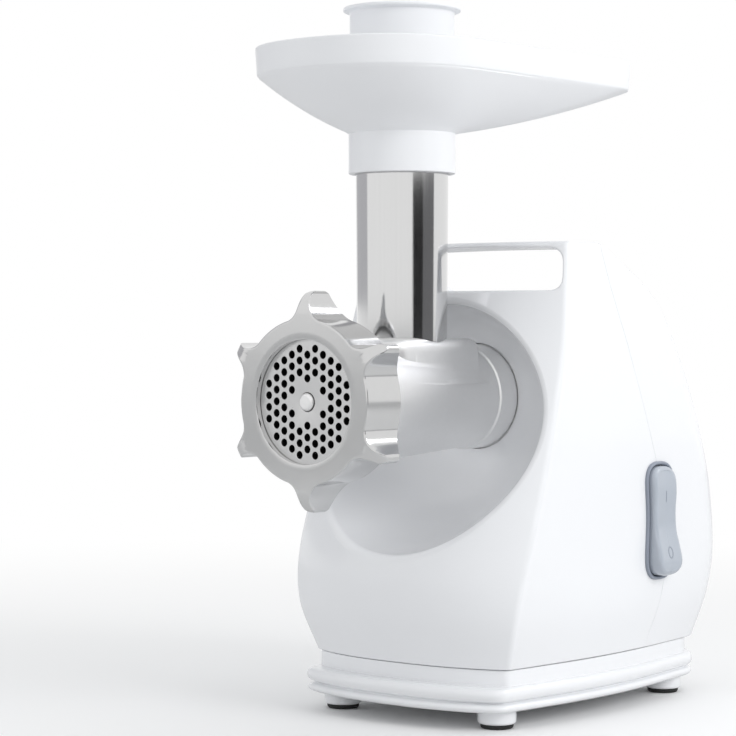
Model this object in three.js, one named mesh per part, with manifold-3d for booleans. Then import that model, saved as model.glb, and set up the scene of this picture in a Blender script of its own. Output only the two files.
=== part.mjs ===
// Electric meat grinder. Millimetres, +Z up. The ring nut faces -Y and the rocker switch is on the +X side.
// The feed tube's axis is the line x = 0, y = 0 while modelling; the last lines centre the grinder.
import * as THREE from 'three';
import { mergeVertices } from 'three/addons/utils/BufferGeometryUtils.js';
import Module from 'manifold-3d';

const wasm = await Module();
wasm.setup();

// ---- driving dimensions ----
const GAP = 0.3;            // clearance between pieces that touch
const FINE = 28;            // facets around a large round piece
const COARSE = 14;          // facets around a small one
const WALL = 2.6;           // moulded shell thickness
const AXIS_Z = 173;         // barrel, auger and output axis above the table

const BODY_FOOT_Z = 32;     // lower edge of the housing
const SHELF_Z = 231;        // floor of the hand opening
const BODY_TOP_Z = 257.5;   // top of the carry handle
const HANDLE_THICK = 4.2;
const HANDLE_FRONT_Y = 51;
const HANDLE_BACK_Y = 86;

// housing outline at a few heights: half width, y of the front edge, bow of the front face,
// y of the back, radius of the back corners, bow of the sides
const BODY_STATIONS = [
  { z: 32, half: 66, edge: 7.4, bow: 13, back: 203, corner: 24, side: 6 },
  { z: 60, half: 75, edge: 1.5, bow: 17.5, back: 206, corner: 24, side: 3 },
  { z: 90, half: 78.7, edge: 6.5, bow: 21, back: 206, corner: 24, side: 0 },
  { z: 140, half: 78.2, edge: 24.5, bow: 21.5, back: 197, corner: 24, side: 0 },
  { z: 200, half: 75.5, edge: 43, bow: 17, back: 171, corner: 24, side: 0 },
  { z: 231, half: 72.3, edge: 50, bow: 12, back: 141, corner: 14, side: 0 },
  { z: 258, half: 69.5, edge: 55, bow: 8, back: 88, corner: 5, side: 0 },
];
const SEAM = [[84, 262], [95, 226], [128, 140], [137.5, 100], [137, 68], [127, 28]];

const RECESS = { halfWidth: 74.5, halfHeight: 71, z: 157, floorY: 66, floorRadius: 31 };
const SOCKET = { outer: 29.2, inner: 26.3, flange: 36, front: 66.3, back: 84 };

const BUTTON = { x: -47, z: 199, radius: 6.5, front: 55.5, back: 68, travel: 4 };
const GLAND = { x: 40, z: 52, radius: 7 };

const PLINTH = { low: 10, ledge: 23.3, high: 31.7 };
const PLINTH_RIM = { half: 67, edge: 0, bow: 13, back: 200, corner: 24, side: 7.5 };
const PLINTH_BAND = { half: 65, edge: 8.4, bow: 13, back: 197, corner: 23, side: 6.5 };
const PLINTH_INSIDE = { half: 61, edge: 11.5, bow: 13, back: 192, corner: 20, side: 6 };
const FOOT = { radius: 10.2, pad: 2.2, x: 53, front: 14, back: 176 };

const TUBE = { top: 316, topRadius: 25, bottomRadius: 24, wall: 1.5 };
const TRAY = { rim: 358.8, neckTop: 315, neckFoot: 293, neckRadius: 28.5,
  half: 65.5, front: -79, back: 147, frontCorner: 58, backCorner: 38, wall: 2.5 };
const PUSHER = { tip: 226, shaft: 21.8, sleeve: 28, flange: 31.5, top: 381.5 };

const NUT = { front: -81, length: 27, radius: 42.85, opening: 32, lobeTip: 57, lobes: 6, tipLength: 15 };
const PLATE = { front: -77.5, thick: 8, radius: 35, pitch: 6.05, hole: 2, pin: 4.65 };
const SHOULDER = { half: 25.6, front: -40, back: 42, corner: 14, top: 205.5 };
const BARREL = { mouth: -77.2, collar: 50.5, rear: 65.7, shank: 80, bore: 27 };
const AUGER = { front: -58, back: 58, frontRadius: 26.2, backRadius: 23.6, core: 9, pitch: 31 };

const SWITCH = { y: 131, z: 103.5, height: 66, width: 28, corner: 12.5, rim: 2 };

const MOTOR = { z: 78, stack: [134, 166], stator: 37, rotor: 21.4, shaft: 4 };
const CASE = { front: 84.3, back: 116.5, wall: 2.5 };
const STAGES = [
  { module: 1.25, pinion: 8, gear: 44, y: [107, 113] },
  { module: 1.5, pinion: 9, gear: 38, y: [98.5, 105.5] },
  { module: 2, pinion: 9, gear: 32, y: [88, 97] },
];

const FINISH = {
  shell: [0xf0f1f3, 0.25, 0], grey: [0x8f99a5, 0.35, 0], rubber: [0x1c1c1e, 0.8, 0],
  steel: [0xc9cbcd, 0.2, 1], cast: [0xb4b6b8, 0.35, 1], nylon: [0xe6e2d6, 0.5, 0],
  copper: [0xb87333, 0.35, 1], lamination: [0x5d6166, 0.5, 1], board: [0x1f6b3a, 0.5, 0],
  black: [0x222326, 0.5, 0], carbon: [0x2b2b2b, 0.9, 0],
};

// ---- solids ----
const grinder = new THREE.Group();

function toSolid(geometry) {
  const bare = geometry.clone();
  bare.deleteAttribute('normal');
  bare.deleteAttribute('uv');
  const merged = mergeVertices(bare, 1e-4);
  const index = [];
  for (let i = 0; i < merged.index.count; i += 3) {
    const [a, b, c] = [0, 1, 2].map((k) => merged.index.getX(i + k));
    if (a !== b && b !== c && c !== a) index.push(a, b, c);
  }
  const vertProperties = new Float32Array(merged.attributes.position.array);
  const build = (triVerts) => new wasm.Manifold(new wasm.Mesh({ numProp: 3, vertProperties, triVerts }));
  const solid = build(new Uint32Array(index));
  if (solid.volume() > 0) return solid;
  return build(new Uint32Array(index).reverse());
}

function toGeometry(solid) {
  const { vertProperties, triVerts } = solid.getMesh();
  const geometry = new THREE.BufferGeometry();
  geometry.setAttribute('position', new THREE.BufferAttribute(vertProperties, 3));
  geometry.setIndex(new THREE.BufferAttribute(triVerts, 1));
  geometry.computeVertexNormals();
  return geometry;
}

const join = (...solids) => solids.reduce((a, b) => a.add(b));
const cut = (solid, ...tools) => tools.reduce((a, b) => a.subtract(b), solid);

function piece(name, solid, finish) {
  const [color, roughness, metalness] = FINISH[finish];
  const material = new THREE.MeshStandardMaterial({ color, roughness, metalness });
  const mesh = new THREE.Mesh(toGeometry(solid), material);
  mesh.name = name;
  grinder.add(mesh);
  return mesh;
}

// a closed skin over rings of points, capped at both ends from each ring's centre
function loft(rings) {
  const count = rings[0].length;
  const points = rings.flat();
  const index = [];
  for (let r = 0; r < rings.length - 1; r += 1) {
    for (let i = 0; i < count; i += 1) {
      const a = r * count + i;
      const b = r * count + ((i + 1) % count);
      index.push(a, b, b + count, a, b + count, a + count);
    }
  }
  for (const [ring, start] of [[rings[0], 0], [rings.at(-1), (rings.length - 1) * count]]) {
    const centre = ring.reduce((sum, p) => sum.add(p), new THREE.Vector3()).divideScalar(count);
    points.push(centre);
    for (let i = 0; i < count; i += 1) {
      const edge = [start + i, start + ((i + 1) % count)];
      if (start === 0) edge.reverse();
      index.push(points.length - 1, ...edge);
    }
  }
  const geometry = new THREE.BufferGeometry().setFromPoints(points);
  geometry.setIndex(index);
  return toSolid(geometry);
}

// a profile of [radius, height] turned about Z; a profile that leaves the axis closes on itself
function turned(profile, segments = FINE) {
  const onAxis = profile[0][0] === 0 && profile.at(-1)[0] === 0;
  const closed = onAxis ? profile : [...profile, profile[0]];
  const geometry = new THREE.LatheGeometry(closed.map(([r, h]) => new THREE.Vector2(r, h)), segments);
  return toSolid(geometry.rotateX(Math.PI / 2));
}

// the same about the line x = x, z = z, parallel to Y, with heights read as y
function turnedY(profile, segments = FINE, x = 0, z = AXIS_Z) {
  return turned(profile, segments).rotate([90, 0, 0]).mirror([0, 1, 0]).translate([x, 0, z]);
}

const discY = (radius, y0, y1, segments = COARSE, x = 0, z = AXIS_Z) =>
  turnedY([[0, y0], [radius, y0], [radius, y1], [0, y1]], segments, x, z);

const ringY = (inner, outer, y0, y1, segments = COARSE, x = 0, z = AXIS_Z) =>
  turnedY([[inner, y0], [outer, y0], [outer, y1], [inner, y1]], segments, x, z);

function block(x0, x1, y0, y1, z0, z1) {
  const geometry = new THREE.BoxGeometry(x1 - x0, y1 - y0, z1 - z0);
  return toSolid(geometry.translate((x0 + x1) / 2, (y0 + y1) / 2, (z0 + z1) / 2));
}

const extruded = (shape, depth, curveSegments) =>
  new THREE.ExtrudeGeometry(shape, { depth, bevelEnabled: false, curveSegments });

// an outline drawn in X and Z, between two values of y
function plateY(shape, y0, y1, curveSegments = 8) {
  return toSolid(extruded(shape, y1 - y0, curveSegments).rotateX(Math.PI / 2).translate(0, y1, 0));
}

// an outline drawn in Y and Z, between two values of x
function plateX(shape, x0, x1, curveSegments = 8) {
  const turn = new THREE.Matrix4().set(0, 0, 1, x0, 1, 0, 0, 0, 0, 1, 0, 0, 0, 0, 0, 1);
  return toSolid(extruded(shape, x1 - x0, curveSegments).applyMatrix4(turn));
}

function roundedRect(width, height, radius, cx = 0, cy = 0) {
  const [x, y] = [width / 2, height / 2];
  const shape = new THREE.Shape();
  shape.moveTo(cx - x + radius, cy - y);
  shape.absarc(cx + x - radius, cy - y + radius, radius, -Math.PI / 2, 0);
  shape.absarc(cx + x - radius, cy + y - radius, radius, 0, Math.PI / 2);
  shape.absarc(cx - x + radius, cy + y - radius, radius, Math.PI / 2, Math.PI);
  shape.absarc(cx - x + radius, cy - y + radius, radius, Math.PI, Math.PI * 1.5);
  return shape;
}

const polygon = (points) => new THREE.Shape(points.map(([x, y]) => new THREE.Vector2(x, y)));

// ---- housing ----

// smooth value of one outline dimension at a height, through the stations
function stationValue(key, z) {
  const s = BODY_STATIONS;
  let i = s.findIndex((station) => station.z >= z);
  i = Math.min(Math.max(i, 1), s.length - 1);
  const slope = (k) => {
    const [a, b] = [s[Math.max(k - 1, 0)], s[Math.min(k + 1, s.length - 1)]];
    return (b[key] - a[key]) / (b.z - a.z);
  };
  const span = s[i].z - s[i - 1].z;
  const t = (z - s[i - 1].z) / span;
  const [t2, t3] = [t * t, t * t * t];
  return s[i - 1][key] * (2 * t3 - 3 * t2 + 1) + slope(i - 1) * span * (t3 - 2 * t2 + t)
    + s[i][key] * (3 * t2 - 2 * t3) + slope(i) * span * (t3 - t2);
}

const bodyOutline = (z) => Object.fromEntries(
  ['half', 'edge', 'bow', 'back', 'corner', 'side'].map((key) => [key, stationValue(key, z)]));

// depth of the bowed front face at x
const frontY = (o, x) => o.edge - o.bow * (1 - Math.abs(x / o.half) ** 2.5);

// a ring of points around the plan outline, shrunk by inset
function outlineRing(outline, z, inset = 0, frontSteps = 8) {
  const o = { ...outline, half: outline.half - inset, edge: outline.edge + inset,
    back: outline.back - inset, corner: Math.max(outline.corner - inset, 1) };
  const side = [];
  const straight = o.back - o.corner - o.edge;
  for (let i = 1; i <= 2; i += 1) {
    const t = i / 3;
    side.push([o.half + o.side * Math.sin(Math.PI * t), o.edge + straight * t]);
  }
  for (let i = 0; i <= 4; i += 1) {
    const angle = (Math.PI / 2) * (i / 4);
    side.push([o.half - o.corner * (1 - Math.cos(angle)), o.back - o.corner * (1 - Math.sin(angle))]);
  }
  const ring = [];
  for (let i = 0; i <= frontSteps; i += 1) {
    const x = o.half * Math.sin((Math.PI / 2) * ((2 * i) / frontSteps - 1));
    ring.push([x, frontY(o, x)]);
  }
  const points = [...ring, ...side, ...side.toReversed().map(([x, y]) => [-x, y])];
  return points.map(([x, y]) => new THREE.Vector3(x, y, z));
}

function bodySolid(inset, z0, z1, steps) {
  const rings = [];
  for (let i = 0; i <= steps; i += 1) {
    const z = z0 + ((z1 - z0) * i) / steps;
    rings.push(outlineRing(bodyOutline(z), z, inset));
  }
  return loft(rings);
}

// the bowl-shaped recess around the head, grown by a wall thickness for its outside
function recess(grow) {
  const { halfWidth, halfHeight, z, floorY, floorRadius } = RECESS;
  const [around, levels] = [24, 5];
  const rings = [];
  const ringAt = (place) => Array.from({ length: around }, (_, i) => {
    const angle = (2 * Math.PI * i) / around;
    return place(Math.cos(angle), Math.sin(angle));
  });
  for (let level = 0; level <= levels; level += 1) {
    const t = (Math.PI / 2) * (level / levels);
    rings.push(ringAt((c, s) => {
      const rim = new THREE.Vector3((halfWidth + grow) * c, 0, z + (halfHeight + grow) * s);
      rim.y = frontY(bodyOutline(Math.min(rim.z, SHELF_Z)), rim.x);
      const floor = new THREE.Vector3(floorRadius * c, floorY + grow, AXIS_Z + floorRadius * s);
      const across = Math.sin(t);
      const point = floor.clone().lerp(rim, across);
      point.y = floor.y + (rim.y - floor.y) * (1 - Math.cos(t));
      return point;
    }));
  }
  rings.push(ringAt((c, s) => new THREE.Vector3((halfWidth + grow) * c, -60, z + (halfHeight + grow) * s)));
  return loft(rings);
}

function seamHalf(front) {
  const seam = new THREE.SplineCurve(SEAM.map(([y, z]) => new THREE.Vector2(y, z))).getPoints(14);
  const far = front ? -200 : 400;
  const shift = front ? 0 : GAP;
  const points = seam.map((p) => [p.x + shift, p.y]);
  const outline = [[points[0][0], 300], ...points, [points.at(-1)[0], 0], [far, 0], [far, 300]];
  return plateX(polygon(outline), -150, 150);
}

// the hand opening runs front to back between the side cheeks
function handOpening() {
  const ring = (z, half) => [[-half, -60], [half, -60], [half, 260], [-half, 260]]
    .map(([x, y]) => new THREE.Vector3(x, y, z));
  return loft([ring(SHELF_Z, 69.6), ring(BODY_TOP_Z + 5, 66.4)]);
}

function housings() {
  const outer = bodySolid(0, BODY_FOOT_Z, BODY_TOP_Z, 10);
  const inner = bodySolid(WALL, BODY_FOOT_Z - 4, SHELF_Z - WALL, 8).subtract(recess(WALL));
  const socketHole = discY(SOCKET.outer + GAP, 60, 75, FINE);
  const buttonHole = discY(BUTTON.radius + GAP, 20, 90, COARSE, BUTTON.x, BUTTON.z);
  const switchHole = plateX(switchOutline(SWITCH.rim), 60, 90, 4);
  const shell = cut(outer, inner, recess(0), handOpening(), socketHole, buttonHole, switchHole);
  const front = shell.intersect(seamHalf(true));
  const gland = discY(GLAND.radius + GAP, 150, 220, 16, GLAND.x, GLAND.z);
  const rear = cut(shell.intersect(seamHalf(false)), gland, ...ventSlots());
  piece('front_housing', front, 'shell');
  piece('rear_housing', rear, 'shell');
}

function ventSlots() {
  const slots = [];
  for (let row = 0; row < 7; row += 1) {
    const z = 96 + row * 9;
    slots.push(block(-34, 34, 150, 230, z, z + 3));
  }
  return slots;
}

function carryHandle() {
  const [low, high] = [BODY_TOP_Z - HANDLE_THICK, BODY_TOP_Z];
  const half = 66.3;
  const rings = [];
  for (let i = 0; i <= 8; i += 1) {
    const x = -half + (2 * half * i) / 8;
    const rise = 1.2 * (1 - (x / half) ** 2);
    const front = HANDLE_FRONT_Y - 3 * (1 - (x / half) ** 2);
    const section = [[front, low + 1], [front + 1, low + rise], [HANDLE_BACK_Y - 1, low + rise],
      [HANDLE_BACK_Y, low + 1.5], [HANDLE_BACK_Y, high - 1], [HANDLE_BACK_Y - 1, high],
      [front + 1, high], [front, high - 1]];
    rings.push(section.map(([y, z]) => new THREE.Vector3(x, y, z)));
  }
  piece('carry_handle', loft(rings), 'shell');
}

// ---- base ----
function basePlinth() {
  // how far the outline is drawn in at each height: two round beads with a groove between them
  const beads = [[PLINTH.low, 1.2], [11, -0.4], [12.6, -1], [14.2, -0.4], [14.9, 1.4], [15.6, 1.4],
    [16.6, -0.6], [19.4, -1.4], [22.2, -0.6], [PLINTH.ledge, 1.6]];
  const outer = loft([...beads.map(([z, inset]) => outlineRing(PLINTH_RIM, z, inset)),
    outlineRing(PLINTH_BAND, PLINTH.ledge + 0.1), outlineRing(PLINTH_BAND, PLINTH.high)]);
  const inner = loft([PLINTH.low - 2, PLINTH.high + 2].map((z) => outlineRing(PLINTH_INSIDE, z)));
  piece('base_plinth', outer.subtract(inner), 'shell');
}

function baseCover() {
  const plate = loft([PLINTH.low, PLINTH.low + 2.6].map((z) => outlineRing(PLINTH_INSIDE, z, GAP)));
  let cover = plate;
  for (const [, x, y] of footPlaces()) {
    const boss = turned([[0, FOOT.pad + GAP], [9.6, FOOT.pad + GAP], [FOOT.radius, 3.2],
      [FOOT.radius + 0.2, PLINTH.low - GAP], [4.8, PLINTH.low - GAP], [4.8, 10.5], [0, 10.5]], COARSE);
    cover = cover.add(boss.translate([x, y, 0]));
  }
  for (const [, x, y] of screwPlaces()) {
    cover = cover.add(turned([[0, 10.5], [5, 10.5], [5, 30], [0, 30]], 10).translate([x, y, 0]));
    cover = cover.subtract(turned([[0, 5], [3.6, 5], [3.6, 14], [0, 14]], 10).translate([x, y, 0]));
    cover = cover.subtract(turned([[0, 5], [2, 5], [2, 26], [0, 26]], 8).translate([x, y, 0]));
  }
  for (let i = 0; i < 4; i += 1) {
    const y = 66 + i * 10;
    cover = cover.subtract(block(-24, 24, y, y + 3, 5, 20));
  }
  piece('base_cover', cover, 'shell');
}

function footPlaces() {
  return [['front_left', -FOOT.x, FOOT.front], ['front_right', FOOT.x, FOOT.front],
    ['rear_left', -FOOT.x, FOOT.back], ['rear_right', FOOT.x, FOOT.back]];
}

function screwPlaces() {
  return [['front_left', -40, 34], ['front_right', 40, 34],
    ['rear_left', -40, 140], ['rear_right', 40, 140]];
}

function feetAndScrews() {
  for (const [place, x, y] of footPlaces()) {
    const pad = turned([[0, 0], [7.8, 0], [8.6, 0.6], [8.8, FOOT.pad], [0, FOOT.pad]], COARSE);
    piece(`foot_${place}`, pad.translate([x, y, 0]), 'rubber');
  }
  for (const [place, x, y] of screwPlaces()) {
    const slot = block(-3.2, 3.2, -0.5, 0.5, 9, 11.6);
    const screw = turned([[0, 11], [3.2, 11], [3.2, 13.7], [1.6, 13.7], [1.6, 25], [0, 25.5]], 8);
    piece(`base_screw_${place}`, screw.subtract(slot).translate([x, y, 0]), 'steel');
  }
}

// ---- head socket and its release ----
function headSocket() {
  const { outer, inner, flange, front, back } = SOCKET;
  const sleeve = turnedY([[inner, front], [outer, front], [outer, 70], [flange, 70], [flange, 73],
    [outer + 1.5, 73], [outer + 1.5, back - GAP], [inner, back - GAP]]);
  const latchHole = discY(2.3, 40, 90, 8, -27.8 * Math.cos(0.6), AXIS_Z + 27.8 * Math.sin(0.6));
  piece('head_socket', sleeve.subtract(latchHole), 'cast');
}

function releaseButton() {
  const { x, z, radius, front, back, travel } = BUTTON;
  const stem = back + 12;
  const cap = turnedY([[0, front], [radius - 1, front], [radius, front + 1], [radius, back], [2.2, back],
    [2.2, stem], [0, stem]], COARSE, x, z);
  piece('release_button', cap, 'grey');
  // the coil spring is drawn as its outer sleeve, at the length it has when the button is pressed
  piece('release_spring', ringY(2.6, 4.4, back + travel + GAP, stem - 1, 10, x, z), 'steel');
  piece('release_guide', ringY(2.6, 7.5, stem - 0.7, stem + 1.5, 10, x, z), 'nylon');
}

// ---- switch, board and cord inlet ----
const switchOutline = (inset) => roundedRect(SWITCH.width - 2 * inset, SWITCH.height - 2 * inset,
  SWITCH.corner - inset, SWITCH.y, SWITCH.z);

function rockerSwitch() {
  const x0 = stationValue('half', SWITCH.z);
  const bezel = plateX(switchOutline(0), x0 + GAP, x0 + 3.4, 4);
  piece('rocker_bezel', bezel.subtract(plateX(switchOutline(SWITCH.rim), x0 - 8, x0 + 8, 4)), 'grey');

  // the rocker's outer face is an S: pressed at its upper end and raised at its lower end
  const half = SWITCH.height / 2 - SWITCH.rim - 0.5;
  const face = [[-1, 7.4], [-0.92, 8.8], [-0.75, 9.4], [-0.5, 8], [-0.2, 5.8], [0.15, 5.2], [0.5, 5.6],
    [0.85, 4.8], [1, 3.2]].map(([t, rise]) => [x0 + rise, SWITCH.z + half * t]);
  const outline = polygon([[x0 - 2, SWITCH.z - half], ...face, [x0 - 2, SWITCH.z + half]]);
  const body = plateY(outline, SWITCH.y - SWITCH.width / 2, SWITCH.y + SWITCH.width / 2);
  const sides = plateX(switchOutline(SWITCH.rim + 0.5), x0 - 5, x0 + 15, 4);
  piece('switch_rocker', body.intersect(sides), 'grey');

  const inner = x0 - 4.2;
  const { y, z } = SWITCH;
  piece('switch_module', block(inner - 16, inner, y - 9, y + 9, z - 20, z + 20), 'black');
}

function electrics() {
  const { radius, x, z } = GLAND;
  const inlet = turnedY([[0, 195.5], [radius + 3, 195.5], [radius + 3, 198.5], [radius, 198.5],
    [radius, 207.4], [radius - 1, 208.8], [3.4, 208.8], [3.4, 201], [0, 201]], COARSE, x, z);
  piece('cord_inlet', inlet, 'grey');
  piece('control_board', block(-66, -64.4, 100, 170, 60, 110), 'board');
  piece('suppressor_capacitor', block(-64.1, -52, 120, 145, 72, 92), 'nylon');
}

// ---- gear train ----

// toothed outline: each tooth is a trapezoid about the pitch circle, the first one centred on angle
function gearShape(teeth, module, angle, x, z, bore) {
  const pitch = (teeth * module) / 2;
  const step = (2 * Math.PI) / teeth;
  const flank = [[-0.31, pitch - 1.2 * module], [-0.13, pitch + 0.75 * module],
    [0.13, pitch + 0.75 * module], [0.31, pitch - 1.2 * module]];
  const points = [];
  for (let i = 0; i < teeth; i += 1) {
    for (const [offset, radius] of flank) {
      const a = angle + (i + offset) * step;
      points.push([x + radius * Math.cos(a), z + radius * Math.sin(a)]);
    }
  }
  const shape = polygon(points);
  if (bore > 0) shape.holes.push(new THREE.Path().absarc(x, z, bore, 0, 2 * Math.PI));
  return shape;
}

const centreDistance = ({ module, pinion, gear }) => (module * (pinion + gear)) / 2 + 0.1;

// where the four shafts stand: the motor at the bottom, the output on the barrel's axis
function shaftPlaces() {
  const [first, second, third] = STAGES.map(centreDistance);
  const motor = new THREE.Vector2(0, MOTOR.z);
  const lean = 0.36;
  const one = motor.clone().add(new THREE.Vector2(-Math.sin(lean), Math.cos(lean)).multiplyScalar(first));
  const output = new THREE.Vector2(0, AXIS_Z);
  const span = output.clone().sub(one);
  const along = (second ** 2 - third ** 2 + span.lengthSq()) / (2 * span.length());
  const aside = Math.sqrt(second ** 2 - along ** 2);
  const unit = span.clone().normalize();
  const two = one.clone().addScaledVector(unit, along);
  two.addScaledVector(new THREE.Vector2(unit.y, -unit.x), aside);
  return [motor, one, two, output];
}

function gearTrain() {
  const places = shaftPlaces();
  const direction = (i) => places[i + 1].clone().sub(places[i]).angle();
  const names = ['compound_gear_1', 'compound_gear_2', 'output_gear'];
  const pinionAngle = STAGES.map((_, i) => direction(i));
  STAGES.forEach(({ module, pinion, gear, y }, i) => {
    const { x, y: z } = places[i + 1];
    const half = Math.PI / gear;
    const wheelAngle = direction(i) + Math.PI + half;
    const last = i === STAGES.length - 1;
    const bore = last ? 6.2 : 3.3;
    const wheel = plateY(gearShape(gear, module, wheelAngle, x, z, bore), y[0], y[1], 5);
    if (last) {
      piece(names[i], wheel, 'nylon');
      return;
    }
    const next = STAGES[i + 1];
    const small = gearShape(next.pinion, next.module, pinionAngle[i + 1], x, z, bore);
    piece(names[i], wheel.add(plateY(small, next.y[0], y[0] + 0.5, 5)), 'nylon');
    piece(`gear_pin_${i + 1}`, discY(3, CASE.front + 2.8, CASE.back - CASE.wall - GAP, 10, x, z), 'steel');
  });
  const first = STAGES[0];
  const pinion = gearShape(first.pinion, first.module, pinionAngle[0], 0, MOTOR.z, 2);
  piece('motor_pinion', plateY(pinion, first.y[0], first.y[1], 4), 'steel');
}

function driveSocket() {
  const hub = turnedY([[0, 99], [5.9, 99], [5.9, 87.7], [9, 87.7], [9, 71], [0, 71]], COARSE);
  const hexHole = turnedY([[0, 70], [5.6, 70], [5.6, 84], [0, 84]], 6);
  piece('drive_socket', hub.subtract(hexHole), 'steel');
  piece('output_bushing', ringY(9.4, 12.6, 80, 87.2), 'copper');
}

function gearbox() {
  const { front, back, wall } = CASE;
  const outline = (inset) => roundedRect(92 - 2 * inset, 166 - 2 * inset, 18 - inset, 0, 135);
  const body = plateY(outline(0), front, back - wall - GAP, 3);
  const cavity = plateY(outline(wall), front + wall, back + 5, 3);
  const outputHole = discY(13, 60, 100);
  piece('gearbox_case', body.subtract(cavity).subtract(outputHole), 'cast');
  const cover = plateY(outline(0), back - wall, back, 3);
  piece('gearbox_cover', cover.subtract(discY(8.5, 100, 130, COARSE, 0, MOTOR.z)), 'cast');
}

// ---- motor ----
const aboutMotor = (profile, segments = COARSE) => turnedY(profile, segments, 0, MOTOR.z);

function statorShape() {
  const shape = new THREE.Shape();
  shape.absarc(0, MOTOR.z, MOTOR.stator, 0, 2 * Math.PI);
  for (const side of [0, 1]) {
    const start = side * Math.PI;
    const window = new THREE.Path();
    window.absarc(0, MOTOR.z, 31.5, start - 1.02, start + 1.02);
    window.absarc(0, MOTOR.z, 20, start + 1.02, start - 1.02, true);
    shape.holes.push(window);
  }
  return shape;
}

function sector(inner, outer, from, to) {
  const shape = new THREE.Shape();
  shape.absarc(0, 0, outer, from, to);
  shape.absarc(0, 0, inner, to, from, true);
  return shape;
}

// a coil around one pole: two sides through the stack and an end turn at each end of it
function fieldCoil(turn) {
  const [y0, y1] = MOTOR.stack;
  const [from, to] = [0.62 + turn, Math.PI - 0.62 + turn];
  const [inner, outer, thick, width] = [23, 30.8, 7, 0.28];
  const ends = sector(inner, outer, from, to);
  return join(
    plateY(ends, y0 - thick, y0 - GAP, 5), plateY(ends, y1 + GAP, y1 + thick, 5),
    plateY(sector(inner, outer, from, from + width), y0 - 1, y1 + 1, 1),
    plateY(sector(inner, outer, to - width, to), y0 - 1, y1 + 1, 1));
}

// a ring around the rotor shaft
const shaftRing = (radius, y0, y1) => {
  const bore = MOTOR.shaft + GAP;
  return aboutMotor([[bore, y0], [radius, y0], [radius, y1], [bore, y1]]);
};

function motor() {
  const [y0, y1] = MOTOR.stack;
  const { shaft, rotor, z } = MOTOR;
  const core = plateY(statorShape(), y0, y1, 10).subtract(discY(22.1, 100, 200, 24, 0, MOTOR.z));
  piece('motor_stator', core, 'lamination');
  for (const [name, turn] of [['field_coil_top', 0], ['field_coil_bottom', Math.PI]]) {
    piece(name, fieldCoil(turn).translate([0, 0, z]), 'copper');
  }
  piece('rotor_core', shaftRing(rotor, y0, y1), 'lamination');
  const steps = [[0, 106.6], [1.7, 106.6], [1.7, 114], [shaft, 115], [shaft, 192], [0, 192]];
  piece('rotor_shaft', aboutMotor(steps, 10), 'steel');
  piece('commutator', shaftRing(12, 169, 181), 'copper');
  piece('motor_bearing_front', shaftRing(8, 115.5, 121), 'steel');
  piece('motor_bearing_rear', shaftRing(8, 184, 190), 'steel');
  fan();
  for (const [name, side] of [['left', -1], ['right', 1]]) {
    const [a, b] = [12.3 * side, 25 * side].sort((p, q) => p - q);
    piece(`brush_${name}`, block(a, b, 172, 178, z - 3, z + 3), 'carbon');
    const [c, d] = [15 * side, 28 * side].sort((p, q) => p - q);
    const holder = block(c, d, 169.5, 180.5, z - 5.5, z + 5.5);
    piece(`brush_holder_${name}`, holder.subtract(block(-27, 27, 171.7, 178.3, z - 3.3, z + 3.3)), 'black');
  }
  brackets();
}

function fan() {
  const bore = MOTOR.shaft + GAP;
  let blades = aboutMotor([[bore, 122], [26, 122], [26, 123.4], [9, 123.4], [9, 126], [bore, 126]]);
  for (let i = 0; i < 9; i += 1) {
    const vane = block(8.5, 25.5, 123, 126.5, -0.7, 0.7).rotate([0, (360 / 9) * i, 0]);
    blades = blades.add(vane.translate([0, 0, MOTOR.z]));
  }
  piece('cooling_fan', blades, 'black');
}

function brackets() {
  const z = MOTOR.z;
  const frame = (y0, y1) => plateY(roundedRect(84, 22, 4, 0, z), y0, y1, 3);
  const front = frame(117, 120.7).subtract(discY(8.5, 100, 130, COARSE, 0, z));
  const rear = frame(184.3, 188).subtract(discY(8.5, 150, 200, COARSE, 0, z));
  const post = (x, y0, y1) => block(x - 2.4, x + 2.4, y0, y1, z - 8, z + 8);
  const posts = (y0, y1) => [post(-39.6, y0, y1), post(39.6, y0, y1)];
  piece('motor_bracket_front', join(front, ...posts(120, 149.7)), 'lamination');
  piece('motor_bracket_rear', join(rear, ...posts(150, 185)), 'lamination');
}

// ---- head: barrel, tube, auger, blade, plate and nut ----
const barrelOuter = (grow) => [
  [38.2 + grow, BARREL.mouth], [38.2 + grow, -56], [36.4 + grow, -53], [34.6 + grow, -45], [31 + grow, 0],
  [28.2 + grow, 44], [27.8 + grow, BARREL.collar], [29 + grow, BARREL.collar + 0.8], [29 + grow, BARREL.rear],
  [26 + grow, BARREL.rear], [26 + grow, BARREL.shank]];

// the shoulder that the feed tube stands on, rounded off at its top
function shoulder(grow) {
  const { half, front, back, corner, top } = SHOULDER;
  const level = (inset, height) => {
    const plan = roundedRect(2 * (half + grow - inset), back - front - 2 * inset, corner - inset, 0,
      (front + back) / 2);
    return toSolid(extruded(plan, height + grow - AXIS_Z, 6).translate(0, 0, AXIS_Z));
  };
  return join(level(0, top - 3.6), level(1.2, top - 1.4), level(3, top));
}

// the barrel as one solid, a hair larger than it is
const barrelSpace = () => turnedY([[0, BARREL.mouth], ...barrelOuter(GAP), [0, BARREL.shank]]);

function headBarrel() {
  const inside = [[22.5, BARREL.shank], [22.5, 66.5], [8.3, 66.5], [8.3, 61], [24.3, 61], [BARREL.bore, -50],
    [BARREL.bore, -58], [32.5, -60], [32.5, -69.2], [35.3, -69.2], [35.3, BARREL.mouth]];
  const body = turnedY([...barrelOuter(0), ...inside]);
  const throat = turned([[0, AXIS_Z], [21, AXIS_Z], [21, AXIS_Z + 60], [0, AXIS_Z + 60]], 20);
  piece('head_barrel', body.subtract(throat), 'cast');
  piece('tube_seat', cut(shoulder(0), barrelSpace(), throat), 'cast');
}

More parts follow.
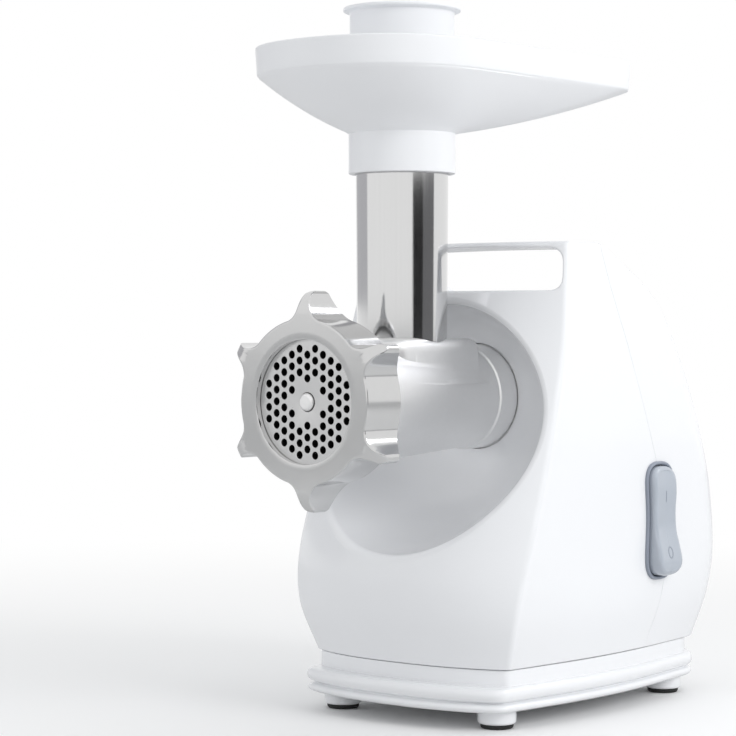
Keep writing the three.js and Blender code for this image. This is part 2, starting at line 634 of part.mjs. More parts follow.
function feedTube() {
  const { top, topRadius, bottomRadius, wall } = TUBE;
  const foot = AXIS_Z + 12;
  const tube = turned([[bottomRadius - wall, foot], [bottomRadius, foot], [topRadius, top],
    [topRadius - wall, top]]);
  piece('feed_tube', cut(tube, barrelSpace(), shoulder(GAP)), 'steel');
}

function flightRings() {
  const { front, back, frontRadius, backRadius, core, pitch } = AUGER;
  const steps = 48;
  const rings = [];
  for (let i = 0; i <= steps; i += 1) {
    const t = i / steps;
    const y = front + 3 + (back - front - 6) * t;
    const angle = (2 * Math.PI * (back - front) * t) / pitch;
    const taper = Math.min(1, 0.45 + 6 * t, 0.45 + 6 * (1 - t));
    const outer = (frontRadius + (backRadius - frontRadius) * t) * taper;
    const section = [[core - 1, -2.6], [outer, -1.3], [outer, 1.3], [core - 1, 2.6]];
    rings.push(section.map(([r, dy]) =>
      new THREE.Vector3(r * Math.cos(angle), y + dy, AXIS_Z + r * Math.sin(angle))));
  }
  return loft(rings);
}

function augerAndBlade() {
  const core = turnedY([[0, -59.5], [10, -59.5], [AUGER.core, 57], [8, 58], [8, 67], [0, 67]], COARSE);
  const tang = block(-5.6, 5.6, -68.8, -59, AXIS_Z - 5.6, AXIS_Z + 5.6);
  const tip = PLATE.pin;
  const pin = turnedY([[0, -79.4], [tip - 0.8, -79.4], [tip, -78.6], [tip, -68], [0, -68]], COARSE);
  piece('auger', join(core, flightRings(), tang, pin), 'cast');
  piece('auger_washer', ringY(8.4, 12, 58.3, 60.6), 'nylon');
  const hex = turnedY([[0, 67.3], [5.2, 67.3], [5.2, 83], [4.4, 83.7], [0, 83.7]], 6);
  piece('auger_drive_end', hex, 'steel');

  const hub = discY(11, -69, -61.5);
  const arms = [0, 1].map((i) => {
    const arm = polygon([[-31, -2], [-28, -5], [28, -5 + 1.5], [31, 2], [28, 5], [-28, 3.5]]);
    return plateY(arm, -69, -64.5).rotate([0, 90 * i, 0]).translate([0, 0, AXIS_Z]);
  });
  const square = block(-5.9, 5.9, -75, -60, AXIS_Z - 5.9, AXIS_Z + 5.9);
  piece('cross_blade', join(hub, ...arms).subtract(square), 'steel');
}

// holes on a triangular grid, kept between the hub and the rim
function plateHoles() {
  const { pitch } = PLATE;
  const centres = [];
  for (let column = -5; column <= 5; column += 1) {
    for (let row = -6; row <= 6; row += 1) {
      const x = column * pitch * Math.sqrt(0.75);
      const z = (row + (Math.abs(column) % 2) / 2) * pitch;
      const distance = Math.hypot(x, z);
      if (distance > 1.9 * pitch && distance < 4.6 * pitch) centres.push([x, z]);
    }
  }
  return centres;
}

function perforatedPlate() {
  const { front, thick, radius, hole, pin } = PLATE;
  const shape = new THREE.Shape().absarc(0, 0, radius, 0, 2 * Math.PI);
  for (const [x, z] of plateHoles()) {
    shape.holes.push(new THREE.Path(new THREE.Path().absarc(x, z, hole, 0, 2 * Math.PI).getPoints(3)));
  }
  shape.holes.push(new THREE.Path(new THREE.Path().absarc(0, 0, pin + GAP, 0, 2 * Math.PI).getPoints(6)));
  piece('perforated_plate', plateY(shape, front, front + thick, 14).translate([0, 0, AXIS_Z]), 'steel');
}

// one lobe: concave flanks that rise from the nut's rim to a narrow round tip
function nutShape() {
  const { radius, lobeTip, lobes } = NUT;
  const shape = new THREE.Shape();
  const step = (2 * Math.PI) / lobes;
  const at = (r, across, turn) => {
    const [c, s] = [Math.cos(turn), Math.sin(turn)];
    return [r * c - across * s, r * s + across * c];
  };
  for (let i = 0; i < lobes; i += 1) {
    const turn = Math.PI / 2 + i * step;
    const foot = Math.asin(10 / radius);
    if (i === 0) shape.moveTo(...at(radius * Math.cos(foot), -10, turn));
    shape.quadraticCurveTo(...at(radius + 1.5, -3.4, turn), ...at(lobeTip - 1.6, -2.7, turn));
    shape.quadraticCurveTo(...at(lobeTip + 1.6, 0, turn), ...at(lobeTip - 1.6, 2.7, turn));
    shape.quadraticCurveTo(...at(radius + 1.5, 3.4, turn), ...at(radius * Math.cos(foot), 10, turn));
    shape.absarc(0, 0, radius, turn + foot, turn + step - foot);
  }
  return shape;
}

function ringNut() {
  const { front, length, radius, opening, lobeTip, tipLength } = NUT;
  const lobes = plateY(nutShape(), front, front + length, 3).translate([0, 0, AXIS_Z]);
  // the lobes lean back towards their rounded tips and slope back to the nut's rear edge
  const lean = turnedY([[0, front], [radius + 4, front], [52, front + 1.3], [55.4, front + 4.2],
    [lobeTip, front + 9], [lobeTip + 0.5, front + tipLength], [lobeTip - 1.5, front + tipLength + 1.5],
    [radius, front + length], [0, front + length]]);
  const body = lobes.intersect(lean).add(discY(radius, front, front + length, FINE));
  const thread = discY(38.8, PLATE.front - GAP, 0, FINE);
  const mouth = discY(opening, front - 5, 0, FINE);
  piece('ring_nut', cut(body, thread, mouth), 'steel');
}

// ---- tray and pusher ----
function trayOutline() {
  const { half, front, back, frontCorner, backCorner } = TRAY;
  const shape = new THREE.Shape();
  shape.moveTo(half, front + frontCorner + 6);
  shape.lineTo(half, back - backCorner);
  shape.absarc(half - backCorner, back - backCorner, backCorner, 0, Math.PI / 2);
  shape.absarc(-half + backCorner, back - backCorner, backCorner, Math.PI / 2, Math.PI);
  shape.lineTo(-half, front + frontCorner + 6);
  shape.bezierCurveTo(-half, front + 18, -frontCorner * 0.62, front, 0, front);
  shape.bezierCurveTo(frontCorner * 0.62, front, half, front + 18, half, front + frontCorner + 6);
  return shape.getSpacedPoints(34).slice(0, 34);
}

const trayUnderside = (s) => TRAY.neckTop + 18 * s + 10.8 * s * s;

// a ring between the neck's circle (s = 0) and the rim's outline (s = 1), drawn in by inset at the rim
function trayRing(outline, s, z, inset, neckRadius) {
  return outline.map((p) => {
    const unit = p.clone().normalize();
    const rim = p.clone().addScaledVector(unit, -inset);
    const point = unit.multiplyScalar(neckRadius).lerp(rim, s);
    return new THREE.Vector3(point.x, point.y, z);
  });
}

function hopperTray() {
  const { rim, neckFoot, neckTop, neckRadius, wall } = TRAY;
  const outline = trayOutline();
  const levels = [0, 0.2, 0.45, 0.7, 0.88, 1];
  const outer = loft([
    trayRing(outline, 0, neckFoot, 0, neckRadius),
    ...levels.map((s) => trayRing(outline, s, trayUnderside(s), 0, neckRadius)),
    trayRing(outline, 1, rim, -0.8, neckRadius)]);
  const dish = loft([
    ...levels.map((s) => trayRing(outline, s, trayUnderside(s) + wall + 0.6, wall, neckRadius - 2)),
    trayRing(outline, 1, rim + 2, wall - 0.8, neckRadius)]);
  const tubeSeat = turned([[0, neckFoot - 2], [TUBE.topRadius + GAP, neckFoot - 2],
    [TUBE.topRadius + GAP, TUBE.top + GAP], [0, TUBE.top + GAP]]);
  const mouth = turned([[0, neckTop - 2], [23.3, neckTop - 2], [23.3, neckTop + 10], [0, neckTop + 10]]);
  piece('hopper_tray', cut(outer, dish, tubeSeat, mouth), 'shell');
}

function pusher() {
  const { tip, shaft, sleeve, flange, top } = PUSHER;
  const shoulder = TRAY.neckTop + TRAY.wall + 3.4;
  const profile = [[0, tip], [shaft - 1.2, tip], [shaft, tip + 1.2], [shaft, shoulder], [sleeve, shoulder],
    [sleeve, top - 2.6], [flange, top - 1.8], [flange, top], [sleeve - 1, top], [sleeve - 2, top - 1.4],
    [sleeve - 2, shoulder + 2], [shaft - 2, shoulder - 1], [shaft - 2, tip + 2.2],
    [0, tip + 2.2]];
  piece('pusher', turned(profile), 'shell');
}

housings();
carryHandle();
basePlinth();
baseCover();
feetAndScrews();
headSocket();
releaseButton();
rockerSwitch();
electrics();
gearTrain();
driveSocket();
gearbox();
motor();
headBarrel();
feedTube();
augerAndBlade();
perforatedPlate();
ringNut();
hopperTray();
pusher();

// centre the grinder over the middle of its own bounding box, with its feet on z = 0
const bounds = new THREE.Box3().setFromObject(grinder);
const centre = bounds.getCenter(new THREE.Vector3());
for (const mesh of grinder.children) mesh.position.set(-centre.x, -centre.y, 0);

export default grinder;
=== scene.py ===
"""Electric meat grinder: white moulded housing and tray, cast and polished metal head.

Lengths in the making are in millimetres, measured from the feed tube's axis and the table top.
"""

import math

import bpy
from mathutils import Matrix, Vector


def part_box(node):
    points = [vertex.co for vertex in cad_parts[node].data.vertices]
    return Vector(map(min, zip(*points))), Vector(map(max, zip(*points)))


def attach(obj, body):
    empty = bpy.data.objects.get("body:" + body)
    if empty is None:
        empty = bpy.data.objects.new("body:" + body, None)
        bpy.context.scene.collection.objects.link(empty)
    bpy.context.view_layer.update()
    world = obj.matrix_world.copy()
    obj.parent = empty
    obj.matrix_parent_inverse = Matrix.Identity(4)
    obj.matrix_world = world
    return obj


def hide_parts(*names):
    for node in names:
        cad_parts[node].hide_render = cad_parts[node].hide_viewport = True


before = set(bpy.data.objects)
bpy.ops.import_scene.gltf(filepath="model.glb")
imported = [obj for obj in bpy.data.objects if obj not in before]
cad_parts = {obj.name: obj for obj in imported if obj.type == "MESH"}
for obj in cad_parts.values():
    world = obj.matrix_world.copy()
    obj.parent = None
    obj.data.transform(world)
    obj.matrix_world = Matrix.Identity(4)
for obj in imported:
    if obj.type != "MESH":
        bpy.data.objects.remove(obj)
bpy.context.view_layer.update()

MM = 0.001
TUBE_LOW, TUBE_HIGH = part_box("feed_tube")
TUBE_AXIS = (TUBE_LOW + TUBE_HIGH) / 2
BARREL_Z = 173
CAMERA_TURN = 39.49


def at(x, y, z):
    """The point x, y, z millimetres from the feed tube's foot on the table."""
    return Vector((TUBE_AXIS.x + x * MM, TUBE_AXIS.y + y * MM, z * MM))


# ---- camera ----
bpy.ops.object.camera_add(
    location=at(788.5, -985.5, 211.2),
    rotation=(math.radians(89.01), 0, math.radians(CAMERA_TURN)),
)
camera = bpy.context.object
camera.data.sensor_width = 36
camera.data.lens = 115.2
camera.data.clip_start, camera.data.clip_end = 0.05, 60
bpy.context.scene.camera = camera


# ---- ways of making ----
def rest():
    """Back to object mode with nothing selected."""
    if bpy.context.mode != "OBJECT":
        bpy.ops.object.mode_set(mode="OBJECT")
    bpy.ops.object.select_all(action="DESELECT")


def take(piece):
    rest()
    piece.select_set(True)
    bpy.context.view_layer.objects.active = piece


def named(name):
    piece = bpy.context.object
    piece.name = piece.data.name = name
    return piece


def close_up(piece):
    """Merges seams and poles and turns the faces outwards."""
    take(piece)
    bpy.ops.object.mode_set(mode="EDIT")
    bpy.ops.mesh.select_all(action="SELECT")
    bpy.ops.mesh.remove_doubles(threshold=2e-6)
    bpy.ops.mesh.delete_loose(use_verts=True, use_edges=True, use_faces=False)
    bpy.ops.mesh.select_all(action="SELECT")
    bpy.ops.mesh.normals_make_consistent(inside=False)
    bpy.ops.object.mode_set(mode="OBJECT")
    return piece


def middle(ring):
    return tuple(sum(p[k] for p in ring) / len(ring) for k in range(3))


def skin(name, rings, ends=True):
    """A skin through rings of points. With ends, each end is closed to a pole in its middle."""
    if ends:
        first, last = middle(rings[0]), middle(rings[-1])
        rings = [[first] * len(rings[0])] + rings + [[last] * len(rings[0])]
    around, levels = len(rings[0]), len(rings) - 1
    rest()
    bpy.ops.mesh.primitive_grid_add(x_subdivisions=around, y_subdivisions=levels, size=2)
    piece = named(name)
    for vertex in piece.data.vertices:
        i = round((vertex.co.x + 1) / 2 * around) % around
        j = round((vertex.co.y + 1) / 2 * levels)
        vertex.co = at(*rings[j][i])
    return close_up(piece)


def softened(points, radius, steps=4):
    """A polygon with its corners rounded. A corner on the axis of turning stays."""
    made = []
    for i, corner in enumerate(points):
        before, after = points[i - 1], points[(i + 1) % len(points)]
        reach = radius[i] if isinstance(radius, (list, tuple)) else radius
        if reach == 0 or abs(corner[0]) < 1e-9:
            made.append(tuple(corner))
            continue
        corner = Vector(corner)
        arms = [Vector(p) - corner for p in (before, after)]
        cuts = [corner + a.normalized() * min(reach, a.length * 0.45) for a in arms]
        for step in range(steps + 1):
            t = step / steps
            point = cuts[0] * (1 - t) ** 2 + corner * 2 * t * (1 - t) + cuts[1] * t * t
            made.append(tuple(point))
    return made


def spaced(points, count):
    """The same closed line through count points at equal distances."""
    line = [Vector(p) for p in points] + [Vector(points[0])]
    lengths = [0.0]
    for a, b in zip(line, line[1:]):
        lengths.append(lengths[-1] + (b - a).length)
    made, k = [], 0
    for i in range(count):
        target = lengths[-1] * i / count
        while lengths[k + 1] < target:
            k += 1
        t = (target - lengths[k]) / max(lengths[k + 1] - lengths[k], 1e-9)
        made.append(tuple(line[k].lerp(line[k + 1], t)))
    return made


def outward(points):
    """Unit vectors out of a closed line that runs anticlockwise."""
    made = []
    for i in range(len(points)):
        a, b = Vector(points[i - 1]), Vector(points[(i + 1) % len(points)])
        along = (b - a).normalized()
        made.append((along.y, -along.x))
    return made


def curve_through(points, steps):
    """A smooth line through points."""
    made = []
    for i in range(len(points) - 1):
        p = [Vector(points[min(max(i + k, 0), len(points) - 1)]) for k in (-1, 0, 1, 2)]
        for step in range(steps):
            t = step / steps
            made.append(tuple(0.5 * (2 * p[1] + (p[2] - p[0]) * t
                                     + (2 * p[0] - 5 * p[1] + 4 * p[2] - p[3]) * t ** 2
                                     + (3 * p[1] - p[0] - 3 * p[2] + p[3]) * t ** 3)))
    made.append(tuple(points[-1]))
    return made


def turned(name, profile, along="Z", centre=(0, 0), segments=96, soft=0.5):
    """A profile of (radius, height) spun about a line along Z or Y."""
    profile = softened(profile, soft)
    rest()
    bpy.ops.mesh.primitive_circle_add(vertices=len(profile), radius=1)
    piece = named(name)
    u, v = centre
    for vertex, (radius, height) in zip(piece.data.vertices, profile):
        vertex.co = at(u + radius, v, height) if along == "Z" else at(u + radius, height, v)
    bpy.ops.object.mode_set(mode="EDIT")
    bpy.ops.mesh.select_all(action="SELECT")
    middle_line = at(u, v, 0) if along == "Z" else at(u, 0, v)
    bpy.ops.mesh.spin(steps=segments, angle=2 * math.pi, center=middle_line,
                      axis=(0, 0, 1) if along == "Z" else (0, 1, 0))
    return close_up(piece)


def turned_y(name, profile, centre=(0, BARREL_Z), segments=96, soft=0.5):
    return turned(name, profile, "Y", centre, segments, soft)


def combine(piece, *tools, operation="DIFFERENCE"):
    """Cuts, joins or keeps the overlap of a piece and each tool, which is used up."""
    for tool in tools:
        take(piece)
        step = piece.modifiers.new(operation.lower(), "BOOLEAN")
        step.operation, step.solver, step.object = operation, "MANIFOLD", tool
        bpy.ops.object.modifier_apply(modifier=step.name)
        bpy.data.objects.remove(tool)
    return piece


def copy_of(piece, name):
    twin = piece.copy()
    twin.data = piece.data.copy()
    bpy.context.collection.objects.link(twin)
    twin.name = twin.data.name = name
    return twin


def moved(piece, x=0, y=0, z=0):
    """Shifts a piece's mesh, so that its object stays at the origin."""
    take(piece)
    bpy.ops.object.mode_set(mode="EDIT")
    bpy.ops.mesh.select_all(action="SELECT")
    bpy.ops.transform.translate(value=(x * MM, y * MM, z * MM))
    bpy.ops.object.mode_set(mode="OBJECT")
    return piece


def smooth(piece, degrees, even):
    """Smooth shading up to an angle. With even set, wide flat faces stay flat to their edges."""
    take(piece)
    bpy.ops.object.shade_smooth_by_angle(angle=math.radians(degrees))
    if even:
        step = piece.modifiers.new("even_shading", "WEIGHTED_NORMAL")
        step.keep_sharp = True
        bpy.ops.object.modifier_apply(modifier=step.name)
    return piece


def fit(piece, body, finish, material, *nodes, degrees=35):
    """Last step of a piece: smooth shading, its material, and the body and CAD nodes it belongs to. The
    finish argument is not used.
    """
    smooth(piece, degrees, body != "head")
    piece.data.materials.clear()
    piece.data.materials.append(material)
    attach(piece, body)
    if nodes:
        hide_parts(*nodes)
    return piece


# ---- finishes ----
class Value:
    """A socket that can stand in a sum, difference or product."""

    def __init__(self, tree, socket):
        self.tree, self.socket = tree, socket

    def math(self, operation, *terms):
        node = self.tree.nodes.new("ShaderNodeMath")
        node.operation = operation
        for slot, term in zip(node.inputs, terms):
            if isinstance(term, Value):
                self.tree.links.new(term.socket, slot)
            else:
                slot.default_value = term
        return Value(self.tree, node.outputs[0])

    def __add__(self, other):
        return self.math("ADD", self, other)

    def __sub__(self, other):
        return self.math("SUBTRACT", self, other)

    def __mul__(self, other):
        return self.math("MULTIPLY", self, other)

    __radd__, __rmul__ = __add__, __mul__


class Finish:
    """A material with its main shader. Constants go straight on the shader's sockets."""

    def __init__(self, name, **constants):
        self.material = bpy.data.materials.new(name)
        self.material.use_nodes = True
        self.tree = self.material.node_tree
        self.shader = self.tree.nodes["Principled BSDF"]
        for key, value in constants.items():
            self.set(key, value)

    def set(self, key, value):
        socket = self.shader.inputs[key.replace("_", " ")]
        if isinstance(value, Value):
            self.tree.links.new(value.socket, socket)
        else:
            socket.default_value = value

    def node(self, kind, settings=(), output=0, **inputs):
        """A node of a kind with its settings. An input is named, or is i and its number."""
        node = self.tree.nodes.new("ShaderNode" + kind)
        for key, value in dict(settings).items():
            setattr(node, key, value)
        for key, value in inputs.items():
            numbered = key[0] == "i" and key[1:].isdigit()
            socket = node.inputs[int(key[1:]) if numbered else key.replace("_", " ")]
            if isinstance(value, Value):
                self.tree.links.new(value.socket, socket)
            else:
                socket.default_value = value
        return Value(self.tree, node.outputs[output])

    def place(self, scale=(1, 1, 1)):
        """Object coordinates, stretched."""
        return self.node("Mapping", Vector=self.node("TexCoord", output=3), Scale=scale)

    def noise(self, scale, where=None, detail=2.0, roughness=0.5):
        return self.node("TexNoise", Vector=where or self.place(), Scale=scale, Detail=detail,
                         Roughness=roughness)

    def mixed(self, mask, dark, light):
        """A colour between two by a mask."""
        return self.node("Mix", {"data_type": "RGBA"}, output=2, i0=mask, i6=dark, i7=light)

    def bump(self, height, strength, distance):
        self.set("Normal", self.node("Bump", Strength=strength, Distance=distance, Height=height))


def tone(level, blue=1.0, green=1.0):
    """A grey of a level, with its blue and green a little more or less."""
    return (level, level * green, level * blue, 1)


def moulded(name, dark, light, rough, grain=0.0, coat=0.0):
    """Moulded plastic: faint clouding, slightly uneven gloss and a fine skin."""
    finish = Finish(name, Coat_Weight=coat, Coat_Roughness=0.06)
    cloud = finish.noise(9, detail=3)
    fine = finish.noise(420, detail=2)
    finish.set("Base Color", finish.mixed(cloud, dark, light))
    finish.set("Roughness", fine * 0.05 + (rough - 0.025) + (cloud - 0.5) * 0.04)
    finish.bump(finish.noise(35, detail=1) + fine * (0.05 + grain), 0.05 + grain, 0.0006)
    return finish.material


def metal(name, dark, light, rough, streak=(1, 1, 1), scale=300, depth=0.1, spread=0.08, wave=0.0):
    """Bare metal: grain drawn out along its working direction."""
    finish = Finish(name, Metallic=1.0)
    grain = finish.noise(scale, finish.place(streak), detail=3, roughness=0.6)
    cloud = finish.noise(14, detail=2)
    finish.set("Base Color", finish.mixed(grain * 0.5 + cloud * 0.5, dark, light))
    finish.set("Roughness", grain * spread + (rough - spread / 2) + (cloud - 0.5) * 0.05)
    finish.bump(grain + finish.noise(38, detail=1) * wave, depth, 0.0002)
    return finish.material


WHITE = moulded("white_gloss", tone(0.88, 1.035, 1.01), tone(0.91, 1.03, 1.01), 0.24, coat=0.35)
WHITE_SATIN = moulded("white_satin", tone(0.88, 1.035, 1.01), tone(0.91, 1.03, 1.01), 0.32,
                      coat=0.15)
GREY = moulded("blue_grey", (0.42, 0.46, 0.52, 1), (0.46, 0.50, 0.56, 1), 0.24, coat=0.5)
GREY_DARK = moulded("blue_grey_frame", (0.25, 0.28, 0.34, 1), (0.29, 0.32, 0.38, 1), 0.35)
CAST = metal("satin_cast", tone(0.84), tone(0.92), 0.36, scale=420, depth=0.12, wave=1.2)
CAST_INNER = metal("rough_cast", tone(0.42), tone(0.55), 0.5, scale=260, depth=0.35)
POLISHED = metal("polished_steel", tone(0.62), tone(0.67), 0.13, scale=160, depth=0.04,
                 spread=0.03, wave=4)
DRAWN = metal("drawn_steel", tone(0.66), tone(0.72), 0.11, (700, 700, 4), 1.0, 0.012, 0.03)
GROUND = metal("ground_steel", tone(0.62), tone(0.70), 0.3, (1, 40, 1), 300, 0.12)
# Near-black steel: painted shade for the plate's hole walls, standing in for the dark inside the holes.
SHADED = metal("painted_shade_steel", tone(0.03), tone(0.06), 0.6, scale=240)
STEEL = metal("plain_steel", tone(0.5), tone(0.62), 0.34, scale=240)
COPPER = metal("copper_wire", (0.62, 0.30, 0.16, 1), (0.80, 0.42, 0.24, 1), 0.35,
               (900, 12, 900), 1.0, 0.6)
STACK = metal("lamination_stack", tone(0.16), tone(0.36), 0.45, (2, 1400, 2), 1.0, 0.6)
NYLON = moulded("nylon", (0.70, 0.67, 0.58, 1), (0.78, 0.75, 0.66, 1), 0.45, 0.1)
BLACK = moulded("black_plastic", tone(0.018), tone(0.03), 0.42, 0.2)
CARBON = moulded("carbon", tone(0.02), tone(0.035), 0.8, 0.4)
BOARD = moulded("board", (0.02, 0.13, 0.05, 1), (0.03, 0.22, 0.08, 1), 0.45, 0.2)
RUBBER = moulded("rubber", tone(0.012), tone(0.022), 0.7, 0.5)

# ---- housing ----
# half width, y of the front crease, bow of the front, y of the back, back corner, bow of the side
STATIONS = {
    32: (66, 7.4, 13, 203, 24, 6),
    60: (75, 1.5, 17.5, 206, 24, 3),
    90: (78.7, 6.5, 21, 206, 24, 0),
    140: (78.2, 24.5, 21.5, 197, 24, 0),
    200: (75.5, 43, 17, 171, 24, 0),
    231: (72.3, 50, 12, 141, 14, 0),
    258: (69.5, 55, 8, 88, 5, 0),
}
HEIGHTS = sorted(STATIONS)
FOOT_Z, SHELF_Z, TOP_Z = 32, 231, 257.5
WALL = 2.6
CAVITY_Z = 26
SOCKET_HOLE, BUTTON_HOLE, GLAND_HOLE = 29.5, 6.8, 7.3
VENT_ROWS, VENT_PITCH, VENT_Z, VENT_SIZE = 7, 9, 97.5, (68, 3, 1.5)
SEAM = [(84, 262), (95, 226), (128, 140), (137.5, 100), (137, 68), (127, 28)]
BOWL = {"half_width": 74.5, "half_height": 71, "z": 157, "floor_y": 66, "floor_radius": 31}
BUTTON = (-47, 199)
GLAND = (40, 52)
SWITCH_Y, SWITCH_Z = 131, 103.5
SWITCH_SIZE = (28, 66, 12.5)
SWITCH_RIM = 2


def body_plan(z):
    """The housing's plan dimensions at a height."""
    k = next((n for n, h in enumerate(HEIGHTS) if h >= z), len(HEIGHTS) - 1)
    k = min(max(k, 1), len(HEIGHTS) - 1)
    low, high = HEIGHTS[k - 1], HEIGHTS[k]
    t, span = (z - low) / (high - low), high - low

    def slope(n, column):
        a, b = HEIGHTS[max(n - 1, 0)], HEIGHTS[min(n + 1, len(HEIGHTS) - 1)]
        return (STATIONS[b][column] - STATIONS[a][column]) / (b - a)

    return [STATIONS[low][c] * (2 * t ** 3 - 3 * t ** 2 + 1)
            + slope(k - 1, c) * span * (t ** 3 - 2 * t ** 2 + t)
            + STATIONS[high][c] * (3 * t ** 2 - 2 * t ** 3)
            + slope(k, c) * span * (t ** 3 - t ** 2) for c in range(6)]


def front_of(plan, x):
    half, edge, bow = plan[:3]
    return edge - bow * (1 - min(abs(x / half), 1.0) ** 2.5)


def front_face(x, z):
    """Where the housing's front is."""
    return front_of(body_plan(min(z, TOP_Z)), x)


def back_face(x, z):
    """Where the housing's back is."""
    return body_plan(min(z, TOP_Z))[3]


def side_face(y, z):
    """How far out the housing's side is."""
    half, edge, _, back, corner, side = body_plan(z)
    t = (y - edge) / (back - corner - edge)
    return half + side * math.sin(math.pi * min(max(t, 0), 1))


def plan_ring(plan, z, inset, crease=2.5, steps=(72, 6, 26, 10, 16)):
    """One ring round the plan: bowed front, creases, sides, back corners and back."""
    half, edge, bow, back, corner, side = plan
    half, edge, back = half - inset, edge + inset, back - inset
    corner = max(corner - inset, 1)
    shrunk = (half, edge, bow, back, corner, side)
    fronts, creases, sides, corners, backs = steps
    reach = half - crease
    right = []
    start, sharp, stop = (Vector((reach, front_of(shrunk, reach))), Vector((half, edge)),
                          Vector((half, edge + crease)))
    for i in range(1, creases + 1):
        t = i / creases
        right.append(tuple(start * (1 - t) ** 2 + sharp * 2 * t * (1 - t) + stop * t * t))
    straight = back - corner - edge
    first = crease / straight
    for i in range(1, sides):
        t = first + (1 - first) * i / sides
        right.append((half + side * math.sin(math.pi * (t - first) / (1 - first)),
                      edge + straight * t))
    for i in range(corners + 1):
        a = math.pi / 2 * i / corners
        right.append((half - corner * (1 - math.cos(a)), back - corner * (1 - math.sin(a))))
    across = [-reach + 2 * reach * i / fronts for i in range(fronts + 1)]
    front = [(x, front_of(shrunk, x)) for x in across]
    flat = half - corner
    rear = [(flat - 2 * flat * i / backs, back) for i in range(1, backs)]
    left = [(-x, y) for x, y in reversed(right)]
    return [(x, y, z) for x, y in front + right + rear + left]


def rounded_levels(low, high, low_round, high_round, step):
    """Heights with the inset that rounds the lower and upper edges."""
    made = []
    for i in range(5):
        a = math.pi / 2 * i / 4
        made.append((low + low_round * (1 - math.sin(a)), low_round * (1 - math.cos(a))))
    made.reverse()
    start, stop = low + low_round, high - high_round
    count = max(1, round((stop - start) / step))
    made += [(start + (stop - start) * i / count, 0) for i in range(1, count)]
    for i in range(7):
        a = math.pi / 2 * i / 6
        made.append((high - high_round * (1 - math.sin(a)), high_round * (1 - math.cos(a))))
    return made


def flare(outline, normals, face, radius, side=1):
    """Rings that round the edge where an opening meets a face, from outside inwards."""
    rings = []
    for offset, depth in [(radius + 0.8, -14), (radius + 0.8, -0.25)] + [
            (radius * (1 - math.cos(math.radians(a))), radius * (1 - math.sin(math.radians(a))))
            for a in (80, 64, 48, 32, 16, 0)]:
        ring = []
        for (x, z), (nx, nz) in zip(outline, normals):
            px, pz = x + nx * offset, z + nz * offset
            ring.append((px, face(px, pz) + side * depth, pz))
        rings.append(ring)
    return rings


def bowl(name, grow=0.0, around=144, levels=22, radius=4.6):
    """The round recess about the head, its rim rounded over; grow gives the wall behind it."""
    turns = [2 * math.pi * i / around for i in range(around)]
    inner = grow - 1.1 if grow else -4.1
    wide, high = BOWL["half_width"] + inner, BOWL["half_height"] + inner
    rim = [(wide * math.cos(a), BOWL["z"] + high * math.sin(a)) for a in turns]
    floor = [(BOWL["floor_radius"] * math.cos(a), BARREL_Z + BOWL["floor_radius"] * math.sin(a))
             for a in turns]

    def face(x, z):
        return front_face(x, min(z, SHELF_Z))

    if grow:
        rings = [[(x, -60, z) for x, z in rim]]
    else:
        rings = flare(rim, outward(rim), face, radius)
    for level in range(levels - 1, -1, -1):
        t = math.pi / 2 * level / levels
        ring = []
        for (rx, rz), (fx, fz) in zip(rim, floor):
            rim_y = face(rx, rz) + (0 if grow else radius)
            floor_y = BOWL["floor_y"] + grow
            ring.append((fx + (rx - fx) * math.sin(t), floor_y + (rim_y - floor_y) * (1 - math.cos(t)),
                         fz + (rz - fz) * math.sin(t)))
        rings.append(ring)
    return skin(name, rings)


def hand_opening():
    corners = [(-69.4, SHELF_Z), (69.4, SHELF_Z), (67.2, 253.6), (-67.2, 253.6)]
    outline = spaced(softened(corners, [7, 7, 8, 8], 8), 128)
    outline = [(x, z + (1.0 * (1 - (x / 67) ** 2) if z > 245 else 0)) for x, z in outline]
    normals = outward(outline)
    front = flare(outline, normals, front_face, 1.3)
    rear = flare(outline, normals, back_face, 1.3, -1)
    return skin("opening", front + list(reversed(rear)))


def seam_side(front):
    line = curve_through(SEAM, 6)
    shift, far = (0, -200) if front else (0.16, 400)
    outline = [(y + shift, z) for y, z in line] + [(far, line[-1][1]), (far, line[0][1])]
    return skin("seam", [[(x, y, z) for y, z in outline] for x in (-150, 150)])


def slot_outline(width, height, corner, y=SWITCH_Y, z=SWITCH_Z, count=72):
    """A rounded rectangle about a middle, by default the switch's."""
    w, h = width / 2, height / 2
    corners = [(y - w, z - h), (y + w, z - h), (y + w, z + h), (y - w, z + h)]
    return spaced(softened(corners, corner, 10), count)


def inset_slot(inset):
    """The switch's outline drawn in by inset, with a slight waist."""
    width, height, corner = SWITCH_SIZE
    outline = slot_outline(width - 2 * inset, height - 2 * inset, corner - inset)
    made = []
    for y, z in outline:
        waist = 1 - 0.07 * math.cos(math.pi * (z - SWITCH_Z - 2) / height) ** 4
        made.append((SWITCH_Y + (y - SWITCH_Y) * waist, z))
    return made


def bore(radius, start, end):
    """The profile of a plain round hole."""
    return [(0, start), (radius, start), (radius, end), (0, end)]


